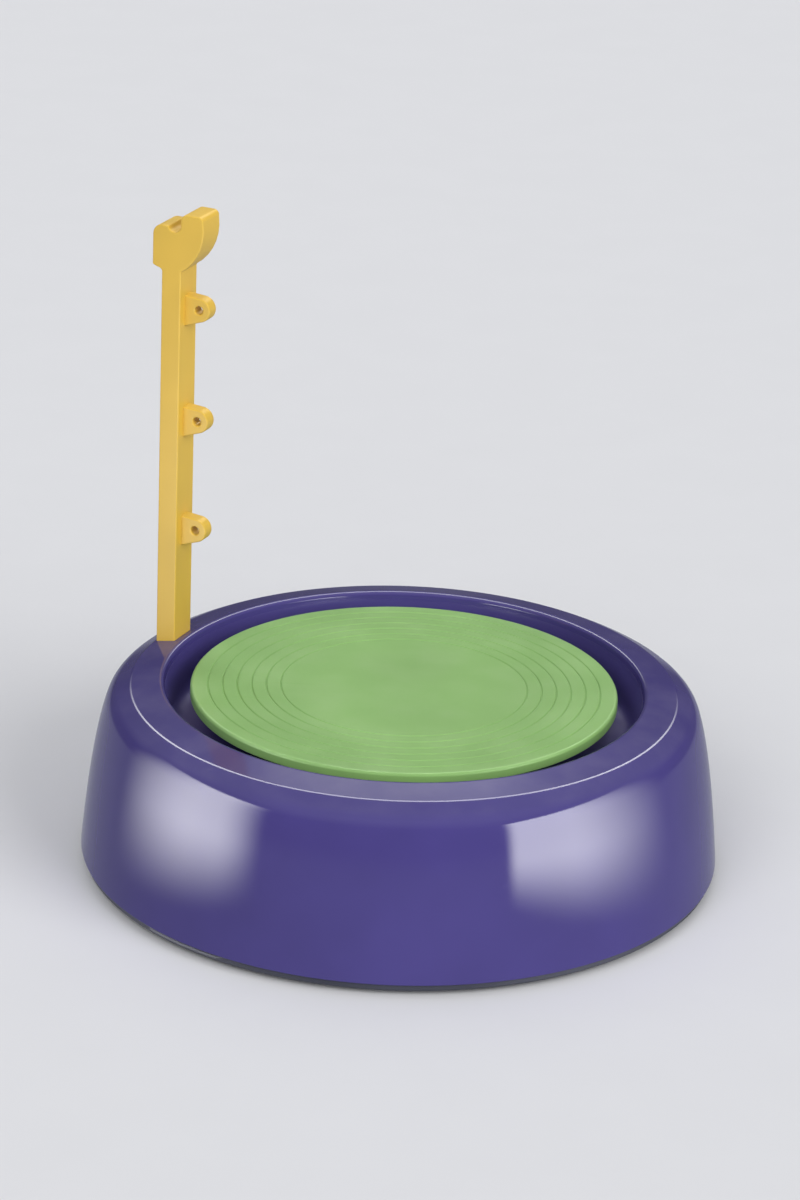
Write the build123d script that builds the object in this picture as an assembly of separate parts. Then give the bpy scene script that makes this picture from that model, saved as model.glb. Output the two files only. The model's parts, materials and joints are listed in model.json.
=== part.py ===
from build123d import *
import math
import os

os.makedirs("parts", exist_ok=True)

# A tabletop electric pottery wheel, in millimetres and degrees.
# The wheel turns about Z. Z = 0 is the surface that the feet stand on, and -Y is the front.

# Housing
base_radius = 110.0         # outer wall at its lower edge
wall_fall = 9.2             # outer wall leans in this far at the shoulder
foot_lean = 5.0             # outer wall from upright at its foot
shoulder_lean = 19.0        # and at the shoulder
shell_wall = 2.4
shoulder_round = 8.0        # at the top of the outer wall
crest_radius = 93.6         # outer edge of the ring
crest_slope = 27.0          # from the crest down to the shoulder
crest_round = 3.5
lip_radius = 82.4           # inner edge of the ring
lip_round = 1.6
ring_fall = 2.3             # drop of the ring from its lip to its crest
well_taper = 3.4            # the well is this much narrower in radius at its floor
well_round = 5.0
corner_round = 0.5          # least round inside the shell

# Heights, stacked upwards from the surface
foot_height = 2.0
base_floor = 2.5
motor_room = 0.8            # under the motor
cap_length = 5.0
can_length = 19.8
gear_plate_thick = 2.4
bush_stand = 1.5            # lower bush above the gear plate
washer_thick = 1.0
first_lift = 0.7            # compound gear above the gear plate
first_face = 4.0
stage_gap = 1.0             # between the two gear pairs
output_face = 5.0
gear_gap = 1.0              # output gear below the bearing boss
boss_drop = 1.4             # bearing boss below the well floor
boss_rise = 4.0             # bearing boss above the well floor
seal_thick = 1.0
seal_gap = 0.2
flange_thick = 2.0
key_depth = 5.9             # key socket under the turntable
wheel_thick = 2.6
lip_rise = 1.9              # lip above the turntable

# Turntable
wheel_gap = 9.2             # between the turntable and the lip
wheel_edge = 1.2
rim_wall = 2.2
rim_drop = 1.2
rib_count = 8
rib_thick = 1.6
rib_drop = 1.0
socket_wall = 3.5
groove_count = 6
groove_margin = 6.0         # outermost groove to the edge
groove_pitch = 5.0
groove_width = 0.8
groove_depth = 0.4

# Spindle and its bearings
spindle_radius = 3.0
flat_depth = 0.6            # of the spindle's drive flat
running_clearance = 0.05
fit_slack = 0.02            # pressed pieces
bush_wall = 2.0
boss_wall = 4.0
lower_boss_wall = 3.0
bush_below = 1.9            # lower bush below the gear plate
washer_radius = 7.0
seal_radius = 7.5
clip_radius = 5.2
clip_thick = 0.7
clip_gap = 0.25
clip_opening = 3.6
groove_cut = 0.6            # clip groove
spindle_tail = 1.6

# Drive hub
flange_radius = 22.0
skirt_gap = 2.0             # round the bearing boss
skirt_wall = 1.5
skirt_overlap = 2.0
key_flats = 16.0
key_slack = 0.15
key_gap = 0.1
key_chamfer = 0.6
hub_cap = 1.2

# Gear train, from the spindle outwards to the motor
train_angle = 60.0
coarse_module = 1.0
fine_module = 0.7
output_teeth = 60
second_teeth = 12
first_teeth = 50
motor_teeth = 10
pressure_angle = 25.0
tooth_addendum = 0.8
tooth_dedendum = 1.05
backlash = 0.08
flank_steps = 3
output_hub_wall = 5.0
output_rim = 4.0
web_recess = 1.2
pinion_over = 0.4           # small pinions past their mates
axle_radius = 1.5
axle_boss_wall = 2.5
axle_seat = 1.4             # axle into the well floor
axle_boss_below = 1.6

# Gear plate
post_reach = 5.0            # its screw posts outside the output gear
post_radius = 4.0
plate_margin = 1.5
motor_post_gap = 6.0        # the last post past the motor

# Motor
can_radius = 10.2
can_flats = 15.4
nose_radius = 3.0
nose_height = 1.5
nose_slack = 0.1
motor_shaft_radius = 1.0
shaft_in_cap = 3.0
tag_width = 2.4
tag_thick = 0.5
tag_length = 3.0
tag_depth = 1.0
tag_height = 2.0
clamp_height = 14.0
clamp_wall = 1.6
clamp_slack = 0.1
ear_thick = 2.0
ear_radius = 4.0
ear_reach = 3.0

# Base plate and feet
rim_inset = 1.0
rim_chamfer = 0.8
tongue_slack = 0.25
tongue_wall = 1.8
tongue_height = 4.5
foot_count = 4
foot_angle = 45.0
foot_radius = 8.0
foot_sink = 1.0
foot_slack = 0.2
foot_inset = 15.0           # feet in from the lower edge
foot_chamfer = 0.6
screw_angles = (60.0, 120.0, 240.0, 300.0)
screw_inset = 16.0          # case screws in from the lower edge
screw_boss_radius = 4.5
seat_rise = 2.5
seat_floor = 2.0

# Screws
case_shank = 1.4
case_head = 2.8
case_head_height = 1.8
case_length = 14.0
small_shank = 1.1
small_head = 2.2
small_head_height = 1.4
plate_screw_length = 10.0
door_screw_length = 9.0
switch_shank = 0.9
switch_head = 1.8
switch_head_height = 1.2
screw_slack = 0.06
head_slack = 0.3
hole_slack = 0.2            # round a shank that passes through
thread_tip = 0.3            # left over the tip of a clamp or switch screw
cut_past = 1.0              # a cut past the faces that it opens

# Battery box, cells and door
cell_count = 4
cell_radius = 7.25
cell_length = 50.5
nub_radius = 2.7
nub_length = 1.2
cell_gap = 0.6
cell_rest = 0.3             # cells above the door
contact_thick = 0.4
contact_width = 10.0
contact_height = 11.0
leaf_room = 3.6             # for the bent leaf at a cell's flat end
leaf_width = 6.0
leaf_rise = 4.0
leaf_touch = 0.1
terminal_width = 3.0
terminal_thick = 0.8
terminal_reach = 3.0
terminal_slack = 0.2
box_wall = 2.0
box_head = 0.5              # over the cells
box_centre = -54.0
door_thick = 2.2
door_ledge = 1.5
door_slack = 0.25
door_lug_radius = 5.5
door_lug_gap = 1.0
door_boss_radius = 4.0

# Switch at the back
switch_height = 27.0
pocket_depth = 7.0          # in from the lower edge
pocket_half_width = 13.0
pocket_half_height = 8.0
pocket_round = 2.0
switch_travel = 4.0
stem_width = 4.0
stem_height = 4.0
slot_slack = 0.3
knob_width = 8.0
knob_height = 7.0
knob_stand = 3.6
knob_gap = 0.3
knob_groove_count = 3
knob_groove_width = 1.0
knob_groove_depth = 0.8
switch_half_width = 9.5
switch_depth = 6.6
switch_half_height = 4.5
stem_depth = 4.2
switch_ear = 5.5
switch_ear_thick = 1.5
switch_tag_offset = 5.0
switch_tag_length = 4.0

# Wires
wire_radius = 0.75
wire_bend = 5.0
wire_level = 7.3            # along the base plate
battery_run = 8.0           # straight run out of the battery box
motor_run = 16.0            # out of the motor
switch_run = 12.0           # out of the switch

# Guide post
post_angle = 155.4
post_setback = 7.1          # post outside the lip
post_depth = 7.2            # towards the wheel's axis
post_width = 12.0
post_slack = 0.15
socket_reach = 18.0
post_wall = 2.4
post_height = 155.8         # above the ring
eye_count = 3
eye_first = 41.6
eye_pitch = 40.0
eye_reach = 5.3
eye_round = 4.2
eye_hole = 1.5
eye_thick = 5.0
eye_root_up = 4.6
eye_root_down = 6.4
head_height = 20.5
outer_lobe = 3.6            # beyond the post
outer_round = 3.6
lobe_step = 4.8             # outer lobe below the inner one
inner_lobe = 8.2
inner_round = 2.4
tip_round = 1.9
undercut_rise = 1.2
saddle_depth = 2.0
saddle_from = 1.4
saddle_to = 3.4
flank_bulge = 2.2

# Levels worked out from the stack
z_base = foot_height
z_seam = z_base + base_floor
z_cap = z_seam + motor_room
z_can = z_cap + cap_length
z_plate = z_can + can_length
z_plate_top = z_plate + gear_plate_thick
z_washer = z_plate_top + bush_stand
z_output_hub = z_washer + washer_thick
z_first = z_plate_top + first_lift
z_first_top = z_first + first_face
z_output = z_first_top + stage_gap
z_output_top = z_output + output_face
z_boss = z_output_top + gear_gap
z_ceiling = z_boss + boss_drop
z_floor = z_ceiling + shell_wall
z_boss_top = z_floor + boss_rise
z_hub = z_boss_top + seal_thick + seal_gap
z_flange = z_hub + flange_thick
z_web = z_flange + key_depth
z_wheel = z_web + wheel_thick
z_lip = z_wheel + lip_rise
z_crest = z_lip - ring_fall
z_lower = z_plate - bush_below
z_clip_top = z_lower - clip_gap
z_clip = z_clip_top - clip_thick
z_spindle = z_clip - spindle_tail
z_key_top = z_web - key_gap
z_spindle_top = z_key_top - hub_cap


def polar(radius, angle):
    """Point at a radius and an angle about Z."""
    turn = math.radians(angle)
    return (radius * math.cos(turn), radius * math.sin(turn))


def ring_level(radius):
    """Level of the ring's top at a radius."""
    return z_lip - ring_fall * (radius - lip_radius) / (crest_radius - lip_radius)


# Places and radii that several pieces share
well_radius = lip_radius - well_taper
wheel_radius = lip_radius - wheel_gap
bearing_radius = spindle_radius + running_clearance
bush_radius = spindle_radius + bush_wall
boss_radius = bush_radius + boss_wall
lower_boss_radius = bush_radius + lower_boss_wall
output_hub_radius = spindle_radius + output_hub_wall
output_tip = coarse_module * (output_teeth / 2 + tooth_addendum)
compound_distance = coarse_module * (output_teeth + second_teeth) / 2
motor_distance = compound_distance + fine_module * (first_teeth + motor_teeth) / 2
compound_place = polar(compound_distance, train_angle)
motor_place = polar(motor_distance, train_angle)
axle_boss_radius = axle_radius + axle_boss_wall
ear_distance = can_flats / 2 + clamp_wall + ear_reach
screw_places = [polar(base_radius - screw_inset, angle) for angle in screw_angles]
foot_turns = [foot_angle + 360 / foot_count * n for n in range(foot_count)]
foot_places = [polar(base_radius - foot_inset, turn) for turn in foot_turns]
post_circle = lip_radius + post_setback
post_place = polar(post_circle, post_angle)
z_ring = ring_level(post_circle)
z_socket = z_ring - socket_reach
pocket_face = base_radius - pocket_depth
pocket_back = pocket_face - shell_wall


def train_point(along, across):
    """Point measured from the motor's axis, along the gear train and square to it."""
    x, y = polar(along, train_angle)
    dx, dy = polar(across, train_angle + 90)
    return (motor_place[0] + x + dx, motor_place[1] + y + dy)


ear_places = [train_point(0, side * ear_distance) for side in (-1, 1)]
inner_posts = [polar(output_tip + post_reach, train_angle + turn) for turn in (90, 180, 270)]
outer_post = train_point(can_radius + motor_post_gap, 0)
plate_posts = inner_posts + [outer_post]

# Battery box, worked out from its cells
cell_pitch = 2 * cell_radius + cell_gap
box_half_width = (cell_count * cell_pitch + cell_gap) / 2
box_half_length = (cell_length + leaf_room) / 2 + contact_thick
z_door_top = z_base + door_thick
z_cell = z_door_top + cell_rest + cell_radius
z_box = z_cell + cell_radius + box_head
box_front = box_centre - box_half_length
box_rear = box_centre + box_half_length
cell_places = [(n - (cell_count - 1) / 2) * cell_pitch for n in range(cell_count)]
lug_offset = box_half_length + box_wall + door_lug_gap + screw_slack + small_shank
door_lugs = [box_centre - lug_offset, box_centre + lug_offset]
terminal_end = box_rear + box_wall + terminal_reach


def rod(radius, low, high, place=(0, 0)):
    """Upright cylinder between two levels."""
    cylinder = Cylinder(radius, high - low, align=(Align.CENTER, Align.CENTER, Align.MIN))
    return Pos(place[0], place[1], low) * cylinder


def sleeve(outer, inner, low, high, place=(0, 0)):
    """Upright tube between two levels."""
    return rod(outer, low, high, place) - rod(inner, low, high, place)


def block(x_low, x_high, y_low, y_high, z_low, z_high):
    """Box between two corners."""
    middle = Pos((x_low + x_high) / 2, (y_low + y_high) / 2, (z_low + z_high) / 2)
    return middle * Box(x_high - x_low, y_high - y_low, z_high - z_low)


def back_rod(radius, x, level, front, rear):
    """Cylinder along Y."""
    return Pos(x, rear, level) * Rot(90, 0, 0) * rod(radius, 0, rear - front)


def d_bar(radius, low, high):
    """Round bar with the spindle's drive flat, on the wheel's axis."""
    flat = radius - flat_depth
    return rod(radius, low, high) & block(-2 * radius, flat, -2 * radius, 2 * radius, low, high)


def screw(place, under_head, shank, head, head_height, length):
    """Screw that points upwards, with its head below."""
    return rod(head, under_head - head_height, under_head, place) + rod(
        shank, under_head, under_head + length, place
    )


def rounded(outline, corners):
    """Flat outline with the corners nearest to the given points rounded."""
    for point, radius in corners:
        nearest = outline.vertices().sort_by_distance((point[0], point[1], 0))[0]
        outline = fillet(nearest, radius)
    return outline


def upright(outline):
    """Turns an outline of radius and level about the wheel's axis."""
    return revolve(Plane.XZ * outline, Axis.Z)


def tooth_angle(radius, pitch, teeth):
    """Half the angle that a tooth fills at a radius."""
    pressure = math.radians(pressure_angle)
    there = math.acos(min(1.0, pitch * math.cos(pressure) / radius))
    half = math.pi / (2 * teeth) - backlash / (2 * pitch)
    return half + math.tan(pressure) - pressure - math.tan(there) + there


def toothed_wheel(module, teeth, low, high, place, facing):
    """Spur gear with involute flanks and one tooth on the facing angle."""
    pitch = module * teeth / 2
    root = pitch - tooth_dedendum * module
    tip = pitch + tooth_addendum * module
    start = max(root, pitch * math.cos(math.radians(pressure_angle)))
    radii = [start + (tip - start) * n / flank_steps for n in range(flank_steps + 1)]
    flank = [(radius, tooth_angle(radius, pitch, teeth)) for radius in radii]
    if root < start:
        flank.insert(0, (root, flank[0][1]))
    sides = [(radius, -angle) for radius, angle in flank] + flank[::-1]
    points = []
    for tooth in range(teeth):
        centre = math.radians(facing) + 2 * math.pi * tooth / teeth
        points += [polar(radius, math.degrees(centre + angle)) for radius, angle in sides]
    outline = make_face(Polyline(*points, close=True))
    return extrude(Pos(place[0], place[1], low) * outline, high - low)


def crossing(point, heading, other, other_heading):
    """Crossing of two lines, each through a point at a heading."""
    cross = heading.X * other_heading.Y - heading.Y * other_heading.X
    apart = other - point
    return point + heading * ((apart.X * other_heading.Y - apart.Y * other_heading.X) / cross)


def skin_line(inset):
    """Outer wall, shoulder, ring, well wall and well floor, as a line at a depth inside the outer skin."""
    foot = Vector(base_radius, z_seam)
    shoulder_radius = base_radius - wall_fall
    shoulder_fall = (shoulder_radius - crest_radius) * math.tan(math.radians(crest_slope))
    shoulder = Vector(shoulder_radius, z_crest - shoulder_fall)
    crest = Vector(crest_radius, z_crest)
    lip = Vector(lip_radius, z_lip)
    well = Vector(well_radius, z_floor)
    foot_way = Vector(*polar(1, 90 + foot_lean))
    wall_way = Vector(*polar(1, 90 + shoulder_lean))
    crest_way = (crest - shoulder).normalized()
    ring_way = (lip - crest).normalized()
    well_way = (well - lip).normalized()
    floor_way = Vector(-1, 0)
    ways = [(foot, foot_way), (shoulder, wall_way), (crest, crest_way)]
    ways += [(lip, ring_way), (well, well_way), (well, floor_way)]
    lines = [(point + Vector(-way.Y, way.X) * inset, way) for point, way in ways]
    corners = [crossing(*lines[n], *lines[n + 1]) for n in range(len(lines) - 1)]
    start = crossing(*lines[0], foot, Vector(1, 0))
    end = Vector(bush_radius, z_floor - inset)
    rounds = [
        max(shoulder_round - inset, corner_round),
        max(crest_round - inset, corner_round),
        max(lip_round - inset, corner_round),
        well_round + inset,
    ]
    straight = FilletPolyline(*corners, end, radius=rounds)
    edges = straight.edges().sort_by_distance(corners[0])
    bow = Bezier(start, corners[0], edges[0] @ 1)
    return [bow.edge()] + list(edges[1:])


def skin_ends(edges):
    """Lower and inner end of a skin line."""
    points = [vertex for edge in edges for vertex in edge.vertices()]
    outermost = max(points, key=radius_of)
    innermost = min(points, key=radius_of)
    return (outermost.X, outermost.Y), (innermost.X, innermost.Y)


def radius_of(vertex):
    return vertex.X


def wall_section():
    """Closed section of the shell's wall."""
    outer = skin_line(0)
    inner = skin_line(shell_wall)
    ends = zip(skin_ends(outer), skin_ends(inner))
    return make_face(outer + inner + [Line(start, end).edge() for start, end in ends])


def housing_envelope():
    """The space under the middle of the shell's wall, where its bosses end."""
    middle = skin_line(shell_wall / 2)
    foot, end = skin_ends(middle)
    closing = Polyline(end, (0, end[1]), (0, z_seam), foot)
    return upright(make_face(middle + closing.edges()))


def switch_pocket(inset, deep):
    """Pocket in the back wall, or the block round it."""
    outline = RectangleRounded(
        2 * (pocket_half_width - inset), 2 * (pocket_half_height - inset), pocket_round
    )
    return extrude(Pos(0, deep, switch_height) * Rot(90, 0, 0) * outline, -base_radius)


def post_plane():
    """Plane of the post's outline: x towards the wheel's axis, y upwards."""
    inward = Vector(*polar(-1, post_angle), 0)
    return Plane(
        origin=(post_place[0], post_place[1], 0), x_dir=inward, z_dir=inward.cross(Vector(0, 0, 1))
    )


def post_bar(grow, low, high):
    """Bar of the post's section, larger all round by a named gap."""
    outline = Pos(0, (low + high) / 2) * Rectangle(post_depth + 2 * grow, high - low)
    return extrude(post_plane() * outline, post_width / 2 + grow, both=True)


def housing():
    envelope = housing_envelope()
    shell = upright(wall_section())
    bosses = [rod(screw_boss_radius, z_seam + seat_rise, z_lip, place) for place in screw_places]
    bosses += [rod(post_radius, z_plate_top, z_floor, place) for place in plate_posts]
    bosses.append(rod(axle_boss_radius, z_boss, z_floor, compound_place))
    bosses.append(post_bar(post_slack + post_wall, z_socket - post_wall, z_lip))
    bosses.append(switch_pocket(-shell_wall, pocket_back))
    shell += [boss & envelope for boss in bosses]
    shell += rod(boss_radius, z_boss, z_boss_top)
    cuts = [rod(bush_radius + fit_slack, z_boss, z_boss_top)]
    cuts.append(rod(axle_radius + fit_slack, z_boss, z_ceiling + axle_seat, compound_place))
    cuts.append(post_bar(post_slack, z_socket, z_lip + post_height))
    cuts.append(switch_pocket(0, pocket_face))
    cuts.append(switch_slot(cut_past, shell_wall + cut_past))
    for place in screw_places:
        cuts.append(rod(case_shank + screw_slack, z_seam, z_seam + case_length, place))
    for place in plate_posts:
        cuts.append(rod(small_shank + screw_slack, z_plate_top, z_plate + plate_screw_length, place))
    thread = switch_shank + screw_slack
    for x in switch_screw_places():
        cuts.append(back_rod(thread, x, switch_height, pocket_back, pocket_face - thread_tip))
    return shell - cuts


def switch_slot(inward, outward):
    """Slot for the switch's stem, by distances in and out from the rear of its pocket."""
    half = (stem_width + switch_travel) / 2 + slot_slack
    rise = stem_height / 2 + slot_slack
    front = pocket_back - inward
    return block(-half, half, front, pocket_back + outward, switch_height - rise, switch_height + rise)


def switch_screw_places():
    """Distances of the switch's two screws from its middle."""
    reach = switch_half_width + switch_ear / 2
    return (-reach, reach)


def base_plate():
    outer = base_radius - rim_inset
    disc = rod(outer, z_base, z_seam)
    disc = chamfer(disc.edges().sort_by(Axis.Z)[0], rim_chamfer)
    lean = math.radians(foot_lean)
    tongue = base_radius - shell_wall / math.cos(lean) - tongue_height * math.tan(lean) - tongue_slack
    disc += sleeve(tongue, tongue - tongue_wall, z_seam, z_seam + tongue_height)
    disc += [rod(screw_boss_radius, z_seam, z_seam + seat_rise, place) for place in screw_places]
    side = box_half_width + box_wall
    disc += block(-side, side, box_front - box_wall, box_rear + box_wall, z_seam, z_box + box_wall)
    door_boss_top = z_door_top + door_screw_length
    disc += [rod(door_boss_radius, z_seam, door_boss_top, (0, y)) for y in door_lugs]
    cuts = [block(-box_half_width, box_half_width, box_front, box_rear, z_base, z_box)]
    cuts.append(extrude(Pos(0, 0, z_base) * door_outline(door_slack), door_thick))
    for place in screw_places:
        cuts.append(rod(case_head + head_slack, z_base, z_seam + seat_rise - seat_floor, place))
        cuts.append(rod(case_shank + hole_slack, z_base, z_seam + seat_rise, place))
    for place in foot_places:
        cuts.append(rod(foot_radius + foot_slack, z_base, z_base + foot_sink, place))
    for y in door_lugs:
        cuts.append(rod(small_shank + screw_slack, z_base, door_boss_top, (0, y)))
    for x in (cell_places[0], cell_places[-1]):
        cuts.append(terminal_bar(x, terminal_slack, box_rear + box_wall))
    return disc - cuts


def terminal_bar(x, grow, rear):
    """Flat tab from a battery contact through the rear of the box, larger all round by a named gap."""
    half = terminal_width / 2 + grow
    rise = terminal_thick / 2 + grow
    return block(x - half, x + half, box_rear, rear, z_cell - rise, z_cell + rise)


def door_outline(grow):
    """Outline of the battery door with its two screw lugs."""
    edge = door_ledge - door_slack + grow
    lug = door_lug_radius - door_slack + grow
    outline = Pos(0, box_centre) * Rectangle(2 * (box_half_width + edge), 2 * (box_half_length + edge))
    for y in door_lugs:
        outline += Pos(0, y) * Circle(lug)
        outline += Pos(0, (y + box_centre) / 2) * Rectangle(2 * lug, abs(y - box_centre))
    return outline


def battery_door():
    door = extrude(Pos(0, 0, z_base) * door_outline(0), door_thick)
    for y in door_lugs:
        door -= rod(small_head + head_slack, z_base, z_base + small_head_height, (0, y))
        door -= rod(small_shank + hole_slack, z_base, z_door_top, (0, y))
    return door


def door_screws():
    under = z_base + small_head_height
    length = door_screw_length - small_head_height
    return [screw((0, y), under, small_shank, small_head, small_head_height, length) for y in door_lugs]


def rubber_feet():
    feet = []
    for place in foot_places:
        foot = rod(foot_radius, 0, z_base + foot_sink, place)
        feet.append(chamfer(foot.edges().sort_by(Axis.Z)[0], foot_chamfer))
    return feet


def case_screws():
    under = z_seam + seat_rise - seat_floor
    length = z_seam + case_length - under
    return [screw(place, under, case_shank, case_head, case_head_height, length) for place in screw_places]


def turntable():
    inner = wheel_radius - rim_wall
    z_rim = z_web - rim_drop
    outline = make_face(
        Polyline(
            (0, z_web), (inner, z_web), (inner, z_rim), (wheel_radius, z_rim), (wheel_radius, z_wheel),
            (0, z_wheel), close=True,
        )
    )
    outline = rounded(outline, [((wheel_radius, z_wheel), wheel_edge)])
    for n in range(groove_count):
        radius = wheel_radius - groove_margin - n * groove_pitch
        outline -= make_face(
            Polyline(
                (radius - groove_width / 2, z_wheel), (radius, z_wheel - groove_depth),
                (radius + groove_width / 2, z_wheel), close=True,
            )
        )
    wheel = upright(outline)
    key_corner = (key_flats / 2 + key_slack) / math.cos(math.pi / 6)
    tube = key_corner + socket_wall
    wheel += rod(tube, z_flange, z_web)
    half = rib_thick / 2
    rib = block(tube - socket_wall / 2, inner + rim_wall / 2, -half, half, z_web - rib_drop, z_web)
    wheel += [Rot(0, 0, 360 / rib_count * n) * rib for n in range(rib_count)]
    return wheel - key_bar(key_slack, z_flange, z_web)


def key_bar(grow, low, high):
    """Six-sided key, larger all round by a named gap."""
    outline = RegularPolygon(key_flats / 2 + grow, 6, major_radius=False)
    return extrude(Pos(0, 0, low) * outline, high - low)


def drive_hub():
    key = key_bar(0, z_flange, z_key_top)
    key = chamfer(key.edges().group_by(Axis.Z)[-1], key_chamfer)
    skirt = boss_radius + skirt_gap
    hub = key + rod(flange_radius, z_hub, z_flange)
    hub += sleeve(skirt + skirt_wall, skirt, z_boss_top - skirt_overlap, z_hub)
    return hub - d_bar(spindle_radius + fit_slack, z_hub, z_spindle_top)


def spindle():
    bar = rod(spindle_radius, z_spindle, z_output)
    bar += d_bar(spindle_radius, z_output, z_output_top)
    bar += rod(spindle_radius, z_output_top, z_hub)
    bar += d_bar(spindle_radius, z_hub, z_spindle_top)
    return bar - sleeve(2 * spindle_radius, spindle_radius - groove_cut, z_clip, z_clip_top)


def retaining_clip():
    ring = sleeve(clip_radius, spindle_radius - groove_cut + fit_slack, z_clip, z_clip_top)
    half = clip_opening / 2
    return ring - block(0, 2 * clip_radius, -half, half, z_clip, z_clip_top)


def output_gear():
    gear = toothed_wheel(coarse_module, output_teeth, z_output, z_output_top, (0, 0), train_angle)
    rim = output_tip - output_rim
    gear -= sleeve(rim, output_hub_radius, z_output, z_output + web_recess)
    gear -= sleeve(rim, output_hub_radius, z_output_top - web_recess, z_output_top)
    gear += rod(output_hub_radius, z_output_hub, z_output)
    gear -= rod(spindle_radius + fit_slack, z_output_hub, z_output)
    return gear - d_bar(spindle_radius + fit_slack, z_output, z_output_top)


def compound_gear():
    large = toothed_wheel(fine_module, first_teeth, z_first, z_first_top, compound_place, train_angle)
    space = train_angle + 180 + 180 / second_teeth
    top = z_output_top + pinion_over
    small = toothed_wheel(coarse_module, second_teeth, z_first_top, top, compound_place, space)
    return large + small - rod(axle_radius + running_clearance, z_first, top, compound_place)


def gear_axle():
    return rod(axle_radius, z_plate - axle_boss_below, z_ceiling + axle_seat, compound_place)


def gear_plate():
    spots = [(place, post_radius + plate_margin) for place in plate_posts]
    spots += [(place, ear_radius + plate_margin) for place in ear_places]
    circles = Sketch() + [Pos(x, y) * Circle(radius) for (x, y), radius in spots]
    plate = extrude(Pos(0, 0, z_plate) * make_hull(circles.edges()), gear_plate_thick)
    plate += rod(lower_boss_radius, z_lower, z_washer)
    plate += rod(axle_boss_radius, z_plate - axle_boss_below, z_plate, compound_place)
    plate -= rod(bush_radius + fit_slack, z_lower, z_washer)
    plate -= rod(axle_radius + fit_slack, z_plate - axle_boss_below, z_plate_top, compound_place)
    plate -= rod(nose_radius + nose_slack, z_plate, z_plate_top, motor_place)
    for place in plate_posts:
        plate -= rod(small_shank + hole_slack, z_plate, z_plate_top, place)
    for place in ear_places:
        plate -= rod(small_shank + screw_slack, z_plate, z_plate_top - thread_tip, place)
    return plate


def gear_plate_screws():
    return [
        screw(place, z_plate, small_shank, small_head, small_head_height, plate_screw_length)
        for place in plate_posts
    ]


def can_outline(grow):
    """Motor's section: a circle with two flats, larger all round by a named gap."""
    flats = Rectangle(4 * can_radius, can_flats + 2 * grow)
    outline = Circle(can_radius + grow) & flats
    return Pos(motor_place[0], motor_place[1]) * Rot(0, 0, train_angle) * outline


def motor_can():
    can = extrude(Pos(0, 0, z_can) * can_outline(0), can_length)
    can += rod(nose_radius, z_plate, z_plate + nose_height, motor_place)
    return can - rod(motor_shaft_radius + running_clearance, z_can, z_plate + nose_height, motor_place)


def motor_end_cap():
    cap = extrude(Pos(0, 0, z_cap) * can_outline(0), cap_length)
    cap -= rod(motor_shaft_radius + running_clearance, z_can - shaft_in_cap, z_can, motor_place)
    return cap - [motor_tag(side, fit_slack) for side in (-1, 1)]


def motor_tag(side, grow):
    """Solder tag in the motor's end cap, larger all round by a named gap."""
    flat = can_flats / 2
    tag = block(
        -tag_width / 2 - grow, tag_width / 2 + grow, flat - tag_depth - grow, flat + tag_length,
        z_cap + tag_height - tag_thick / 2 - grow, z_cap + tag_height + tag_thick / 2 + grow,
    )
    turn = train_angle if side > 0 else train_angle + 180
    return Pos(motor_place[0], motor_place[1]) * Rot(0, 0, turn) * tag


def motor_terminals():
    return [motor_tag(side, 0) for side in (-1, 1)]


def motor_shaft():
    return rod(motor_shaft_radius, z_can - shaft_in_cap + fit_slack, z_first_top + pinion_over, motor_place)


def motor_pinion():
    space = train_angle + 180 + 180 / motor_teeth
    top = z_first_top + pinion_over
    pinion = toothed_wheel(fine_module, motor_teeth, z_first, top, motor_place, space)
    return pinion - rod(motor_shaft_radius + fit_slack, z_first, top, motor_place)


def motor_clamp():
    low = z_plate - clamp_height
    collar = extrude(Pos(0, 0, low) * can_outline(clamp_slack + clamp_wall), clamp_height)
    for x, y in ear_places:
        ear = rod(ear_radius, z_plate - ear_thick, z_plate, (x, y))
        middle = Pos((x + motor_place[0]) / 2, (y + motor_place[1]) / 2, z_plate - ear_thick / 2)
        arm = middle * Rot(0, 0, train_angle) * Box(2 * ear_radius, ear_distance, ear_thick)
        collar += ear + arm
    collar -= extrude(Pos(0, 0, low) * can_outline(clamp_slack), clamp_height)
    for place in ear_places:
        collar -= rod(small_shank + hole_slack, z_plate - ear_thick, z_plate, place)
    return collar


def clamp_screws():
    under = z_plate - ear_thick
    length = ear_thick + gear_plate_thick - 2 * thread_tip
    return [screw(place, under, small_shank, small_head, small_head_height, length) for place in ear_places]


def battery_cells():
    cells = []
    for n, x in enumerate(cell_places):
        if n % 2:
            nub_end = box_rear - contact_thick
            turn = 1
        else:
            nub_end = box_front + contact_thick
            turn = -1
        shoulder = nub_end - turn * nub_length
        far_end = nub_end - turn * cell_length
        can = back_rod(cell_radius, x, z_cell, min(shoulder, far_end), max(shoulder, far_end))
        cells.append(can + back_rod(nub_radius, x, z_cell, min(shoulder, nub_end), max(shoulder, nub_end)))
    return cells


def contact_leaf(x, wall, turn):
    """Bent leaf that presses on a cell's flat end."""
    tip = wall + turn * (contact_thick + leaf_room - leaf_touch)
    root = wall + turn * contact_thick
    back = tip - turn * contact_thick
    outline = make_face(
        Polyline(
            (root, z_cell + leaf_rise), (tip, z_cell), (root, z_cell - leaf_rise),
            (root, z_cell - leaf_rise + contact_thick), (back, z_cell),
            (root, z_cell + leaf_rise - contact_thick), close=True,
        )
    )
    return extrude(Plane.YZ * outline, leaf_width / 2, both=True).moved(Pos(x, 0, 0))


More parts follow.
